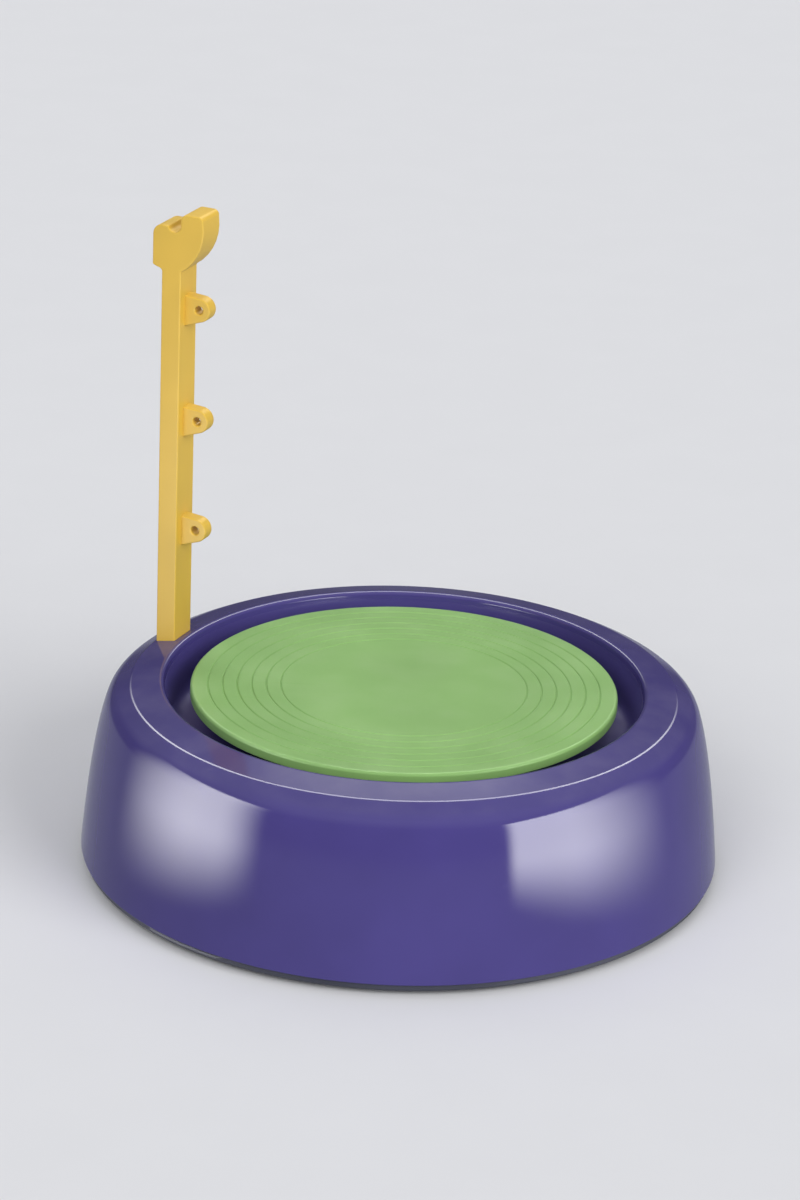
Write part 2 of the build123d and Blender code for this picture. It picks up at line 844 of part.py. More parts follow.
def contact_strip(first, last, wall, turn):
    """Contact plate across one or two cells, with a leaf where a cell's flat end meets it."""
    half = contact_width / 2
    y_low = min(wall, wall + turn * contact_thick)
    x_low = cell_places[first] - half
    x_high = cell_places[last] + half
    low = z_cell - contact_height / 2
    strip = block(x_low, x_high, y_low, y_low + contact_thick, low, low + contact_height)
    for n in range(first, last + 1):
        if (n % 2 == 1) == (turn > 0):
            strip += contact_leaf(cell_places[n], wall, turn)
    return strip


def battery_contacts():
    strips = [contact_strip(n, n + 1, box_front, 1) for n in range(0, cell_count, 2)]
    strips += [contact_strip(n, n + 1, box_rear, -1) for n in range(1, cell_count - 1, 2)]
    for n in (0, cell_count - 1):
        strips.append(contact_strip(n, n, box_rear, -1) + terminal_bar(cell_places[n], 0, terminal_end))
    return strips


def switch_body():
    front = pocket_back - switch_depth
    low = switch_height - switch_half_height
    high = switch_height + switch_half_height
    body = block(-switch_half_width, switch_half_width, front, pocket_back, low, high)
    reach = switch_half_width + switch_ear
    body += block(-reach, reach, pocket_back - switch_ear_thick, pocket_back, low, high)
    body -= switch_slot(stem_depth + slot_slack, 0)
    hole = switch_shank + hole_slack
    for x in switch_screw_places():
        body -= back_rod(hole, x, switch_height, pocket_back - switch_ear_thick, pocket_back)
    return body


def switch_terminals():
    rear = pocket_back - switch_depth
    half = tag_width / 2
    tags = []
    for x in (-switch_tag_offset, switch_tag_offset):
        tags.append(
            block(
                x - half, x + half, rear - switch_tag_length, rear,
                switch_height - tag_thick / 2, switch_height + tag_thick / 2,
            )
        )
    return tags


def switch_screws():
    under = pocket_back - switch_ear_thick
    screws = []
    for x in switch_screw_places():
        head = back_rod(switch_head, x, switch_height, under - switch_head_height, under)
        tip = pocket_face - 2 * thread_tip
        screws.append(head + back_rod(switch_shank, x, switch_height, under, tip))
    return screws


def switch_knob():
    middle = -switch_travel / 2
    low = switch_height - knob_height / 2
    high = switch_height + knob_height / 2
    face = pocket_face + knob_gap
    cap = block(middle - knob_width / 2, middle + knob_width / 2, face, face + knob_stand, low, high)
    pitch = knob_width / (knob_groove_count + 1)
    half = knob_groove_width / 2
    top = face + knob_stand
    for n in range(knob_groove_count):
        x = middle - knob_width / 2 + pitch * (n + 1)
        cap -= block(x - half, x + half, top - knob_groove_depth, top, low, high)
    half = stem_width / 2
    stem = block(
        middle - half, middle + half, pocket_back - stem_depth, face,
        switch_height - stem_height / 2, switch_height + stem_height / 2,
    )
    return cap + stem


def wire(points):
    """Round wire along straight runs joined by arcs."""
    path = FilletPolyline(*points, radius=wire_bend)
    start = Plane(origin=path @ 0, z_dir=path % 0)
    return sweep(start * Circle(wire_radius), path)


def motor_tag_end(side, out):
    """Point on the line of a motor tag, a distance out from its end."""
    x, y = train_point(0, side * (can_flats / 2 + tag_length + out))
    return (x, y, z_cap + tag_height)


def switch_tag_end(x, out):
    """Point on the line of a switch tag, a distance out from its end."""
    return (x, pocket_back - switch_depth - switch_tag_length - out, switch_height)


def motor_lead():
    x = cell_places[-1]
    bend = (motor_tag_end(-1, motor_run)[0], (terminal_end + motor_place[1]) / 2, wire_level)
    return wire(
        [
            (x, terminal_end, z_cell), (x, terminal_end + battery_run, z_cell), bend,
            motor_tag_end(-1, motor_run), motor_tag_end(-1, 0),
        ]
    )


def battery_lead():
    x = cell_places[0]
    bend = (x, switch_tag_end(0, 2 * switch_run)[1], wire_level)
    return wire(
        [
            (x, terminal_end, z_cell), (x, terminal_end + battery_run, z_cell), bend,
            switch_tag_end(-switch_tag_offset, switch_run), switch_tag_end(-switch_tag_offset, 0),
        ]
    )


def switch_lead():
    return wire(
        [
            switch_tag_end(switch_tag_offset, 0), switch_tag_end(switch_tag_offset, switch_run),
            motor_tag_end(1, switch_run), motor_tag_end(1, 0),
        ]
    )


def post_head():
    """Outline of the forked head: a low outer lobe, a saddle and a taller inner lobe."""
    half = post_depth / 2
    top = z_ring + post_height
    neck = top - head_height
    low_top = top - lobe_step
    outer = -half - outer_lobe
    inner = half + inner_lobe
    saddle_low = ((saddle_to - saddle_from) / 2, low_top - saddle_depth)
    saddle = ThreePointArc((-saddle_from, low_top), saddle_low, (saddle_to, low_top))
    drop = top - inner_round
    bulge = (half + inner) / 2 + flank_bulge
    flank = ThreePointArc((inner, drop), (bulge, (drop + neck) / 2 - flank_bulge), (half, neck))
    left = Polyline(
        (half, neck), (-half, neck), (outer, neck + undercut_rise), (outer, low_top),
        (-saddle_from, low_top),
    )
    right = Polyline((saddle_to, low_top), (saddle_to, top), (inner, top), (inner, drop))
    outline = make_face(left.edges() + saddle.edges() + right.edges() + flank.edges())
    corners = [((outer, low_top), outer_round), ((saddle_to, top), inner_round), ((inner, top), tip_round)]
    return rounded(outline, corners)


def post_eye(level):
    """Eyelet lug on the post's inner side."""
    edge = post_depth / 2
    centre = Pos(edge + eye_reach, level)
    middle = level + (eye_root_up - eye_root_down) / 2
    root = Pos(0, middle) * Rectangle(post_depth, eye_root_up + eye_root_down)
    outline = make_hull((root + centre * Circle(eye_round)).edges())
    return extrude(post_plane() * (outline - centre * Circle(eye_hole)), eye_thick / 2, both=True)


def guide_post():
    post = post_bar(0, z_socket, z_ring + post_height - head_height)
    post += extrude(post_plane() * post_head(), post_width / 2, both=True)
    post += [post_eye(z_ring + eye_first + eye_pitch * n) for n in range(eye_count)]
    return post


pieces = {
    "housing": housing(),
    "base_plate": base_plate(),
    "rubber_feet": rubber_feet(),
    "case_screws": case_screws(),
    "turntable": turntable(),
    "drive_hub": drive_hub(),
    "spindle": spindle(),
    "retaining_clip": retaining_clip(),
    "upper_bush": sleeve(bush_radius, bearing_radius, z_boss, z_boss_top),
    "lower_bush": sleeve(bush_radius, bearing_radius, z_lower, z_washer),
    "splash_seal": sleeve(seal_radius, bearing_radius, z_boss_top, z_boss_top + seal_thick),
    "thrust_washer": sleeve(washer_radius, bearing_radius, z_washer, z_output_hub),
    "output_gear": output_gear(),
    "compound_gear": compound_gear(),
    "gear_axle": gear_axle(),
    "gear_plate": gear_plate(),
    "gear_plate_screws": gear_plate_screws(),
    "motor_can": motor_can(),
    "motor_end_cap": motor_end_cap(),
    "motor_terminals": motor_terminals(),
    "motor_shaft": motor_shaft(),
    "motor_pinion": motor_pinion(),
    "motor_clamp": motor_clamp(),
    "clamp_screws": clamp_screws(),
    "battery_cells": battery_cells(),
    "battery_contacts": battery_contacts(),
    "battery_door": battery_door(),
    "door_screws": door_screws(),
    "switch_body": switch_body(),
    "switch_terminals": switch_terminals(),
    "switch_screws": switch_screws(),
    "switch_knob": switch_knob(),
    "battery_lead": battery_lead(),
    "motor_lead": motor_lead(),
    "switch_lead": switch_lead(),
    "guide_post": guide_post(),
}
for name, piece in pieces.items():
    if isinstance(piece, list):
        piece = Compound(children=piece)
    export_step(piece, f"parts/{name}.step")
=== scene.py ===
"""Looks of a tabletop electric pottery wheel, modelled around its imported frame.

Everything is in metres in the frame's own axes: the wheel turns about Z, Z = 0 is the surface
that the feet stand on, and -Y is the front.
"""

import json
import math
from collections import namedtuple

import bpy
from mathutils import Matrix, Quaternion, Vector
from mathutils.geometry import intersect_line_line


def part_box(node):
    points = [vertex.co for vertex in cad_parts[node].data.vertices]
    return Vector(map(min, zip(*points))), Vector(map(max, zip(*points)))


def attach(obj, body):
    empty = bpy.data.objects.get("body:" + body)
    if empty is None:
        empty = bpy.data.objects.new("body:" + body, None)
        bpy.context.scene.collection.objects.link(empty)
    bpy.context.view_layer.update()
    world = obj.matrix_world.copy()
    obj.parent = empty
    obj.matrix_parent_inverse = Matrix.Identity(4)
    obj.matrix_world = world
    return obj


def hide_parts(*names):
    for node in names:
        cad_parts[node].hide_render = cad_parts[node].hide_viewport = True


bl_info = {
    "name": "Pottery Wheel",
    "version": (1, 0, 0),
    "blender": (4, 5, 0),
    "location": "3D View > Sidebar > Pottery Wheel",
    "description": "Models and finishes a tabletop pottery wheel around its packed frame",
    "category": "Object",
}

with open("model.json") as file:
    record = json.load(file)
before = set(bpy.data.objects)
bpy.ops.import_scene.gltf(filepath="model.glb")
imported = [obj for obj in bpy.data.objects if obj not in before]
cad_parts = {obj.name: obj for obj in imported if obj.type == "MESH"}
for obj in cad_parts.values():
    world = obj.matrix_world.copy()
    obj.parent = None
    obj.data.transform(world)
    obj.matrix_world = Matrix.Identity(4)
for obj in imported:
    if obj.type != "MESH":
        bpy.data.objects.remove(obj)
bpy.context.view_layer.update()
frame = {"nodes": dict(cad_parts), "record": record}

SHELL_LOW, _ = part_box("housing")
WHEEL_LOW, WHEEL_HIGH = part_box("turntable")
POST_LOW, POST_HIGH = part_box("guide_post")
HUB_LOW, HUB_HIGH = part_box("drive_hub")
FOOT_LOW, FOOT_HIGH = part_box("rubber_feet")
KNOB_LOW, KNOB_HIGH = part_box("switch_knob")
CELL_LOW, CELL_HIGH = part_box("battery_cells")
CASE_SCREW_LOW, CASE_SCREW_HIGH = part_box("case_screws")
DOOR_SCREW_LOW, DOOR_SCREW_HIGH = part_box("door_screws")

MM = 0.001
UP = Vector((0, 0, 1))
ORIGIN = Vector((0, 0, 0))
MERGE_GAP = 1e-6
TURN_STEPS = 192            # round the large turned pieces
SMALL_STEPS = 64            # round the small ones
ROUND_STEP = math.radians(10)
BOW_STEPS = 20
SMOOTH_ANGLE = math.radians(35)
FLAT_ANGLE = math.radians(0.5)
OVERLAP = 1 * MM            # cutters and roots reach this far past a face


# Properties

def length(name, description, default):
    return bpy.props.FloatProperty(
        name=name, description=description, default=default, unit="LENGTH", precision=5
    )


def angle(name, description, degrees):
    return bpy.props.FloatProperty(
        name=name, description=description, default=math.radians(degrees), subtype="ANGLE"
    )


def count(name, description, default):
    return bpy.props.IntProperty(name=name, description=description, default=default, min=1)


def linear(level):
    """Linear light of an 8-bit display level."""
    share = level / 255
    if share <= 0.04045:
        return share / 12.92
    return ((share + 0.055) / 1.055) ** 2.4


def colour(name, description, *levels):
    return bpy.props.FloatVectorProperty(
        name=name, description=description, subtype="COLOR", size=3, min=0, max=1,
        default=[linear(level) for level in levels],
    )


class ShellSizes(bpy.types.PropertyGroup):
    """Sizes of the moulded shell"""
    foot_radius: length("Foot radius", "Outer wall at its lower edge", 110 * MM)
    seam_level: length("Seam level", "Lower edge of the shell", SHELL_LOW.z)
    wall_fall: length("Wall fall", "Outer wall leans in this far at the shoulder", 9.2 * MM)
    foot_lean: angle("Foot lean", "Outer wall from upright at its foot", 5)
    shoulder_lean: angle("Shoulder lean", "Outer wall from upright at the shoulder", 19)
    wall: length("Wall", "Thickness of the shell", 2.4 * MM)
    shoulder_round: length("Shoulder round", "Round at the top of the outer wall", 8 * MM)
    crest_radius: length("Crest radius", "Outer edge of the ring", 93.6 * MM)
    crest_slope: angle("Crest slope", "From the crest down to the shoulder", 27)
    crest_round: length("Crest round", "Round of the ring's outer edge", 3.5 * MM)
    lip_radius: length("Lip radius", "Inner edge of the ring", 82.4 * MM)
    lip_level: length("Lip level", "Corner of the lip", 65.6 * MM)
    lip_round: length("Lip round", "Round of the lip", 1.6 * MM)
    ring_fall: length("Ring fall", "Drop of the ring from its lip to its crest", 2.3 * MM)
    well_radius: length("Well radius", "Foot of the well's wall", 79 * MM)
    well_round: length("Well round", "Round between the well's wall and floor", 5 * MM)
    floor_level: length("Floor level", "Floor of the well", 48 * MM)
    corner_round: length("Corner round", "Least round inside the shell", 0.5 * MM)
    edge_round: length("Edge round", "Round of the lower edge", 0.6 * MM)
    boss_radius: length("Boss radius", "Bearing boss in the well", 9 * MM)
    boss_bore: length("Boss bore", "Hole for the upper bush", 5.02 * MM)
    boss_low: length("Boss foot", "Lower face of the bearing boss", 44.2 * MM)
    boss_top: length("Boss top", "Upper face of the bearing boss", 52 * MM)
    pocket_face: length("Pocket face", "Floor of the switch pocket, back from the axis", 103 * MM)
    pocket_level: length("Pocket level", "Middle of the switch pocket", 27 * MM)
    pocket_half_width: length("Pocket half width", "Half the switch pocket's width", 13 * MM)
    pocket_half_height: length("Pocket half height", "Half the switch pocket's height", 8 * MM)
    pocket_round: length("Pocket round", "Corners of the switch pocket", 2 * MM)
    slot_half_width: length("Slot half width", "Half the length of the switch's slot", 4.3 * MM)
    slot_half_height: length("Slot half height", "Half the height of the switch's slot", 2.3 * MM)


class WheelSizes(bpy.types.PropertyGroup):
    """Sizes of the wheel head and its hub"""
    radius: length("Radius", "Outer edge of the wheel head", 73.2 * MM)
    top: length("Top", "Working face", WHEEL_HIGH.z)
    web: length("Web level", "Underside of the plate", 61.1 * MM)
    tube_low: length("Tube foot", "Lower end of the key socket", WHEEL_LOW.z)
    edge_round: length("Edge round", "Round of the outer edge", 1.2 * MM)
    rim_wall: length("Rim wall", "Thickness of the rim", 2.2 * MM)
    rim_level: length("Rim level", "Lower edge of the rim", 59.9 * MM)
    small_round: length("Small round", "Round of the lesser edges", 0.35 * MM)
    groove_count: count("Grooves", "Rings cut in the working face", 6)
    groove_margin: length("Groove margin", "Outermost groove in from the edge", 6 * MM)
    groove_pitch: length("Groove pitch", "Distance between grooves", 5 * MM)
    groove_width: length("Groove width", "Width of a groove", 0.8 * MM)
    groove_depth: length("Groove depth", "Depth of a groove", 0.4 * MM)
    groove_round: length("Groove round", "Round of a groove's edges", 0.12 * MM)
    rib_count: count("Ribs", "Ribs under the plate", 8)
    rib_thick: length("Rib thickness", "Thickness of a rib", 1.6 * MM)
    rib_drop: length("Rib drop", "Depth of a rib under the plate", 1 * MM)
    tube_radius: length("Tube radius", "Outside of the key socket", 12.91 * MM)
    socket_flats: length("Socket flats", "Key socket across its flats", 16.3 * MM)
    key_flats: length("Key flats", "Drive key across its flats", 16 * MM)
    key_chamfer: length("Key chamfer", "Lead at the top of the key", 0.6 * MM)
    flange_radius: length("Flange radius", "Hub's flange", 22 * MM)
    flange_low: length("Flange foot", "Underside of the hub's flange", 53.2 * MM)
    skirt_inner: length("Skirt inner radius", "Inside of the hub's skirt", 11 * MM)
    skirt_outer: length("Skirt outer radius", "Outside of the hub's skirt", 12.5 * MM)


class PostSizes(bpy.types.PropertyGroup):
    """Sizes of the guide post"""
    circle: length("Circle", "Post from the wheel's axis", 89.5 * MM)
    turn: angle("Turn", "Place round the wheel", 155.4)
    depth: length("Depth", "Towards the wheel's axis", 7.2 * MM)
    width: length("Width", "Across the ring", 12 * MM)
    slack: length("Slack", "Gap round the post in its socket", 0.15 * MM)
    low: length("Foot", "Lower end, in the socket", POST_LOW.z)
    top: length("Top", "Top of the inner lobe", POST_HIGH.z)
    head_height: length("Head height", "Forked head", 20.5 * MM)
    undercut_rise: length("Undercut rise", "Slope under the outer lobe", 1.2 * MM)
    outer_lobe: length("Outer lobe", "Beyond the post", 3.6 * MM)
    outer_round: length("Outer round", "Corner of the outer lobe", 3.6 * MM)
    lobe_step: length("Lobe step", "Outer lobe below the inner one", 4.8 * MM)
    inner_lobe: length("Inner lobe", "Beyond the post, towards the axis", 8.2 * MM)
    inner_round: length("Inner round", "Corner of the inner lobe by the saddle", 2.4 * MM)
    tip_round: length("Tip round", "Corner of the inner lobe's tip", 1.9 * MM)
    saddle_from: length("Saddle start", "Outer end of the saddle", 1.4 * MM)
    saddle_to: length("Saddle end", "Inner end of the saddle", 3.4 * MM)
    saddle_depth: length("Saddle depth", "Depth of the tool rest", 2 * MM)
    flank_bulge: length("Flank bulge", "Hollow of the flank under the inner lobe", 2.2 * MM)
    edge_round: length("Edge round", "Round of the long edges", 0.7 * MM)
    eye_count: count("Eyelets", "Eyelets on the inner side", 3)
    eye_first: length("First eyelet", "Level of the lowest eyelet", 105.742 * MM)
    eye_pitch: length("Eyelet pitch", "Distance between eyelets", 40 * MM)
    eye_reach: length("Eyelet reach", "Hole from the post's inner face", 5.3 * MM)
    eye_round: length("Eyelet round", "Outer round of an eyelet", 4.2 * MM)
    eye_hole: length("Eyelet hole", "Radius of the hole", 1.5 * MM)
    eye_thick: length("Eyelet thickness", "Thickness of an eyelet", 5 * MM)
    eye_root_up: length("Eyelet root above", "Root above the hole", 4.6 * MM)
    eye_root_down: length("Eyelet root below", "Root below the hole", 6.4 * MM)
    eye_edge: length("Eyelet edge", "Round of an eyelet's edges", 0.5 * MM)


class SmallSizes(bpy.types.PropertyGroup):
    """Sizes of the feet, screws, knob and cells"""
    foot_circle: length("Foot circle", "Feet from the wheel's axis", 95 * MM)
    foot_radius: length("Foot radius", "Radius of a foot", 8 * MM)
    foot_round: length("Foot round", "Round of a foot's edge", 0.6 * MM)
    foot_dish: length("Foot dish", "Hollow in a foot's sole", 0.35 * MM)
    screw_circle: length("Screw circle", "Case screws from the wheel's axis", 94 * MM)
    case_head: length("Case screw head", "Radius of a case screw's head", 2.8 * MM)
    case_head_height: length("Case head height", "Height of a case screw's head", 1.8 * MM)
    case_shank: length("Case shank", "Radius of a case screw's shank", 1.4 * MM)
    door_head: length("Door screw head", "Radius of a door screw's head", 2.2 * MM)
    door_head_height: length("Door head height", "Height of a door screw's head", 1.4 * MM)
    door_shank: length("Door shank", "Radius of a door screw's shank", 1.1 * MM)
    knob_stand: length("Knob stand", "Thickness of the switch's knob", 3.6 * MM)
    knob_groove: length("Knob groove", "Width of the knob's grip grooves", 1 * MM)
    knob_groove_depth: length("Knob groove depth", "Depth of the grip grooves", 0.8 * MM)
    knob_round: length("Knob round", "Round of the knob's edges", 0.3 * MM)
    stem_width: length("Stem width", "Stem behind the knob", 4 * MM)
    cell_count: count("Cells", "Cells in the battery box", 4)
    cell_radius: length("Cell radius", "Radius of a cell", 7.25 * MM)
    cell_length: length("Cell length", "Length of a cell with its nub", 50.5 * MM)
    nub_radius: length("Nub radius", "Radius of a cell's nub", 2.7 * MM)
    nub_length: length("Nub length", "Length of a cell's nub", 1.2 * MM)
    plate_round: length("Plate round", "Round of the base plate's and door's edges", 0.25 * MM)


class FinishColours(bpy.types.PropertyGroup):
    """Colours of the finishes, named as the record's material slots"""
    purple_shell: colour("Shell", "Purple gloss moulding", 68, 60, 121)
    green_wheel: colour("Wheel head", "Green satin moulding", 131, 173, 99)
    yellow_post: colour("Guide post", "Yellow satin moulding", 220, 181, 71)
    dark_base: colour("Base", "Dark textured moulding", 58, 60, 72)
    black_rubber: colour("Rubber", "Black rubber", 36, 36, 37)
    bright_steel: colour("Bright steel", "Ground steel", 196, 197, 199)
    zinc_screw: colour("Screws", "Zinc plated steel", 186, 188, 190)
    bronze_bush: colour("Bushes", "Sintered bronze", 188, 154, 98)
    white_gear: colour("Gears", "White moulding", 226, 223, 213)
    grey_frame: colour("Frame", "Grey moulding", 132, 133, 136)
    motor_steel: colour("Motor", "Plated motor can", 182, 183, 185)
    cell_jacket: colour("Cells", "Plain lacquered jacket", 146, 148, 153)
    contact_spring: colour("Contacts", "Nickel plated spring", 205, 202, 195)
    black_switch: colour("Switch", "Black moulding", 42, 42, 44)
    red_wire: colour("Red wire", "Red insulation", 176, 38, 34)
    black_wire: colour("Black wire", "Black insulation", 34, 34, 34)
    dust: colour("Dust", "Dry clay dust", 205, 198, 188)


class StageSettings(bpy.types.PropertyGroup):
    """Camera, floor and light"""
    camera_distance: length("Camera distance", "Camera from the wheel", 1.587)
    camera_elevation: angle("Camera elevation", "Camera above the level", 23.86)
    camera_roll: angle("Camera roll", "Turn of the picture", 2.08)
    camera_pivot: length("Camera pivot", "Level that distance and elevation are measured from", 0.040)
    camera_aim: length("Camera aim", "Level in the middle of the picture", 0.0955)
    camera_side: length("Camera side", "Middle of the picture, to the right of the axis", -0.0025)
    frame_height: length("Frame height", "What the picture shows from its top to its foot", 0.4135)
    floor_radius: length("Floor radius", "Round floor", 12.0)
    floor_colour: colour("Floor", "Pale floor", 228, 228, 229)
    sky_colour: colour("Sky", "Light from above", 205, 207, 212)
    horizon_colour: colour("Horizon", "Light from the sides", 98, 98, 104)
    ground_colour: colour("Ground", "Light that gloss mirrors from below", 158, 160, 170)
    arch_distance: length("Arch distance", "Strip light from the wheel", 4.0)
    arch_tilt: angle("Arch tilt", "Slope of the ring's edge where it mirrors the strip light", 20.3)
    arch_spread: angle("Arch spread", "Slopes to each side that still mirror it", 4.5)
    arch_reach: angle("Arch reach", "How far round the ring mirrors it, to each side of the front", 95)
    arch_low: length("Arch low", "Level where the strip light fades out", 0.9)
    arch_high: length("Arch high", "Level where the strip light is full", 2.8)
    arch_light: bpy.props.FloatProperty(
        name="Arch light", description="Brightness of the strip light", default=8, min=0
    )


class WheelSettings(bpy.types.PropertyGroup):
    """All settings of the pottery wheel"""
    shell: bpy.props.PointerProperty(type=ShellSizes, name="Shell")
    wheel: bpy.props.PointerProperty(type=WheelSizes, name="Wheel head")
    post: bpy.props.PointerProperty(type=PostSizes, name="Guide post")
    small: bpy.props.PointerProperty(type=SmallSizes, name="Small pieces")
    colours: bpy.props.PointerProperty(type=FinishColours, name="Finishes")
    stage: bpy.props.PointerProperty(type=StageSettings, name="Stage")


# Outlines, drawn in the XZ plane

def at(x, z):
    return Vector((x, 0, z))


def heading(turn):
    return at(math.cos(turn), math.sin(turn))


def crossing(line, other):
    """Crossing of two lines, each a point and a heading."""
    point, way = line
    other_point, other_way = other
    return intersect_line_line(point, point + way, other_point, other_point + other_way)[0]


def spread(centre, spoke, axis, turn):
    """Points of an arc that starts at the spoke's end and turns about its centre."""
    steps = max(2, math.ceil(abs(turn) / ROUND_STEP))
    return [centre + Quaternion(axis, turn * n / steps) @ spoke for n in range(steps + 1)]


def round_corner(before, corner, after, radius):
    """Points of the arc that rounds a corner, or the corner itself."""
    if not radius:
        return [corner]
    back = (before - corner).normalized()
    on = (after - corner).normalized()
    half = back.angle(on) / 2
    reach = radius / math.tan(half)
    centre = corner + (back + on).normalized() * (radius / math.sin(half))
    spoke = corner + back * reach - centre
    turn = spoke.rotation_difference(corner + on * reach - centre)
    return spread(centre, spoke, turn.axis, turn.angle)


def rounded_path(corners):
    """Points along straight runs, from a list of corners and their rounds."""
    points = [corners[0][0]]
    for (before, _), (corner, radius), (after, _) in zip(corners, corners[1:], corners[2:]):
        points += round_corner(before, corner, after, radius)
    return points + [corners[-1][0]]


def rounded_loop(corners):
    """Closed outline from a list of corners and their rounds. Its first point isn't repeated."""
    points = []
    for n, (corner, radius) in enumerate(corners):
        after = corners[(n + 1) % len(corners)][0]
        points += round_corner(corners[n - 1][0], corner, after, radius)
    return points


def arc_through(start, middle, end):
    """Points of the arc through three points."""
    first = middle - start
    last = end - start
    square = first.cross(last)
    lift = square.cross(first) * last.length_squared + last.cross(square) * first.length_squared
    centre = start + lift / (2 * square.length_squared)
    spoke = start - centre
    turn = spoke.angle(middle - centre) + (middle - centre).angle(end - centre)
    return spread(centre, spoke, spoke.cross(middle - centre).normalized(), turn)


def bow(start, control, end):
    """Points of the curve that leaves and meets its ends towards one control point."""
    shares = [n / BOW_STEPS for n in range(BOW_STEPS + 1)]
    return [start * (1 - t) ** 2 + control * (2 * t * (1 - t)) + end * t ** 2 for t in shares]


def circle(centre, radius, steps):
    return [centre + heading(2 * math.pi * n / steps) * radius for n in range(steps)]


def rectangle(half_width, half_height, radius=0):
    corners = [(1, 1), (-1, 1), (-1, -1), (1, -1)]
    return rounded_loop([(at(x * half_width, z * half_height), radius) for x, z in corners])


# Modelling steps

def select_only(*pieces):
    if bpy.context.mode != "OBJECT":
        bpy.ops.object.mode_set(mode="OBJECT")
    bpy.ops.object.select_all(action="DESELECT")
    for piece in pieces:
        piece.select_set(True)
        bpy.context.view_layer.objects.active = piece


def open_mesh(piece):
    """Edit mode with the whole mesh selected."""
    select_only(piece)
    bpy.ops.object.mode_set(mode="EDIT")
    bpy.ops.mesh.select_all(action="SELECT")


def close_up(piece):
    """Merged seams and poles, outward faces, and back to object mode."""
    bpy.ops.mesh.select_all(action="SELECT")
    bpy.ops.mesh.remove_doubles(threshold=MERGE_GAP)
    bpy.ops.mesh.normals_make_consistent(inside=False)
    bpy.ops.object.mode_set(mode="OBJECT")
    return piece


def traced(name, points):
    """Wire traced from one vertex, extruded from point to point. It is left in edit mode."""
    select_only()
    bpy.ops.mesh.primitive_plane_add(size=1)
    wire = bpy.context.object
    wire.name = wire.data.name = name
    open_mesh(wire)
    bpy.ops.mesh.merge(type="CENTER")
    bpy.ops.transform.translate(value=points[0])
    for start, end in zip(points, points[1:]):
        bpy.ops.mesh.extrude_vertices_move(TRANSFORM_OT_translate={"value": end - start})
    return wire


def turned(name, profile, steps, axis=UP):
    """Solid of a profile spun about an axis through the origin."""
    piece = traced(name, profile)
    bpy.ops.mesh.select_all(action="SELECT")
    bpy.ops.mesh.spin(steps=steps, angle=2 * math.pi, center=ORIGIN, axis=axis)
    return close_up(piece)


def prism(name, outline, way):
    """Solid of a flat outline, filled and extruded."""
    piece = traced(name, outline + outline[:1])
    bpy.ops.mesh.select_all(action="SELECT")
    bpy.ops.mesh.remove_doubles(threshold=MERGE_GAP)
    bpy.ops.mesh.edge_face_add()
    bpy.ops.mesh.extrude_region_move(TRANSFORM_OT_translate={"value": way})
    return close_up(piece)


def block(name, low, high):
    """Upright block between two corners."""
    middle = (low + high) / 2
    size = high - low
    outline = [p + Vector((middle.x, low.y, middle.z)) for p in rectangle(size.x / 2, size.z / 2)]
    return prism(name, outline, Vector((0, size.y, 0)))


def copy_of(piece, shift=ORIGIN):
    """A copy with its own mesh, shifted."""
    select_only(piece)
    bpy.ops.object.duplicate()
    made = bpy.context.object
    open_mesh(made)
    bpy.ops.transform.translate(value=shift)
    bpy.ops.object.mode_set(mode="OBJECT")
    return made


def joined(name, pieces):
    """Several pieces as one mesh."""
    select_only(*pieces)
    if len(pieces) > 1:
        bpy.ops.object.join()
    made = bpy.context.object
    made.name = made.data.name = name
    return made


def apply_modifier(piece, kind, **settings):
    select_only(piece)
    bpy.ops.object.modifier_add(type=kind)
    modifier = piece.modifiers[-1]
    for name, value in settings.items():
        setattr(modifier, name, value)
    bpy.ops.object.modifier_apply(modifier=modifier.name)
    return piece


def combine(piece, operation, other):
    """Exact union, difference or intersection. The other piece is used up."""
    apply_modifier(piece, "BOOLEAN", operation=operation, solver="EXACT", object=other)
    bpy.data.objects.remove(other)
    return piece


def bevel(piece, width, segments=3):
    """Rounded edges wherever two faces meet sharply."""
    return apply_modifier(
        piece, "BEVEL", width=width, segments=segments, limit_method="ANGLE",
        angle_limit=SMOOTH_ANGLE, use_clamp_overlap=True, miter_outer="MITER_ARC",
    )


def merged_copy(name, node):
    """A copy of a frame node with its loose triangles merged into clean faces."""
    select_only(frame["nodes"][node])
    bpy.ops.object.duplicate()
    piece = bpy.context.object
    for key in list(piece.keys()):
        del piece[key]
    piece.parent = None
    piece.name = piece.data.name = name
    open_mesh(piece)
    bpy.ops.mesh.remove_doubles(threshold=MERGE_GAP)
    bpy.ops.mesh.dissolve_limited(angle_limit=FLAT_ANGLE)
    bpy.ops.object.mode_set(mode="OBJECT")
    return piece


def finish_piece(piece, body, slot, *nodes):
    """Smooth shading, the slot's finish, and the piece's place in the frame."""
    select_only(piece)
    bpy.ops.object.shade_smooth_by_angle(angle=SMOOTH_ANGLE)
    apply_modifier(piece, "WEIGHTED_NORMAL", keep_sharp=True)
    piece.data.materials.clear()
    piece.data.materials.append(finish(slot))
    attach(piece, body)
    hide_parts(*nodes)
    return piece


# Shader nodes

def plug(tree, socket, value):
    if isinstance(value, bpy.types.NodeSocket):
        tree.links.new(value, socket)
    else:
        socket.default_value = value


def add(tree, kind, inputs=(), **settings):
    """New node with its settings made and its inputs set or linked."""
    made = tree.nodes.new(kind)
    for name, value in settings.items():
        setattr(made, name, value)
    for key, value in dict(inputs).items():
        plug(tree, made.inputs[key], value)
    return made


def calc(tree, operation, first, second=0.0):
    return add(tree, "ShaderNodeMath", {0: first, 1: second}, operation=operation).outputs[0]


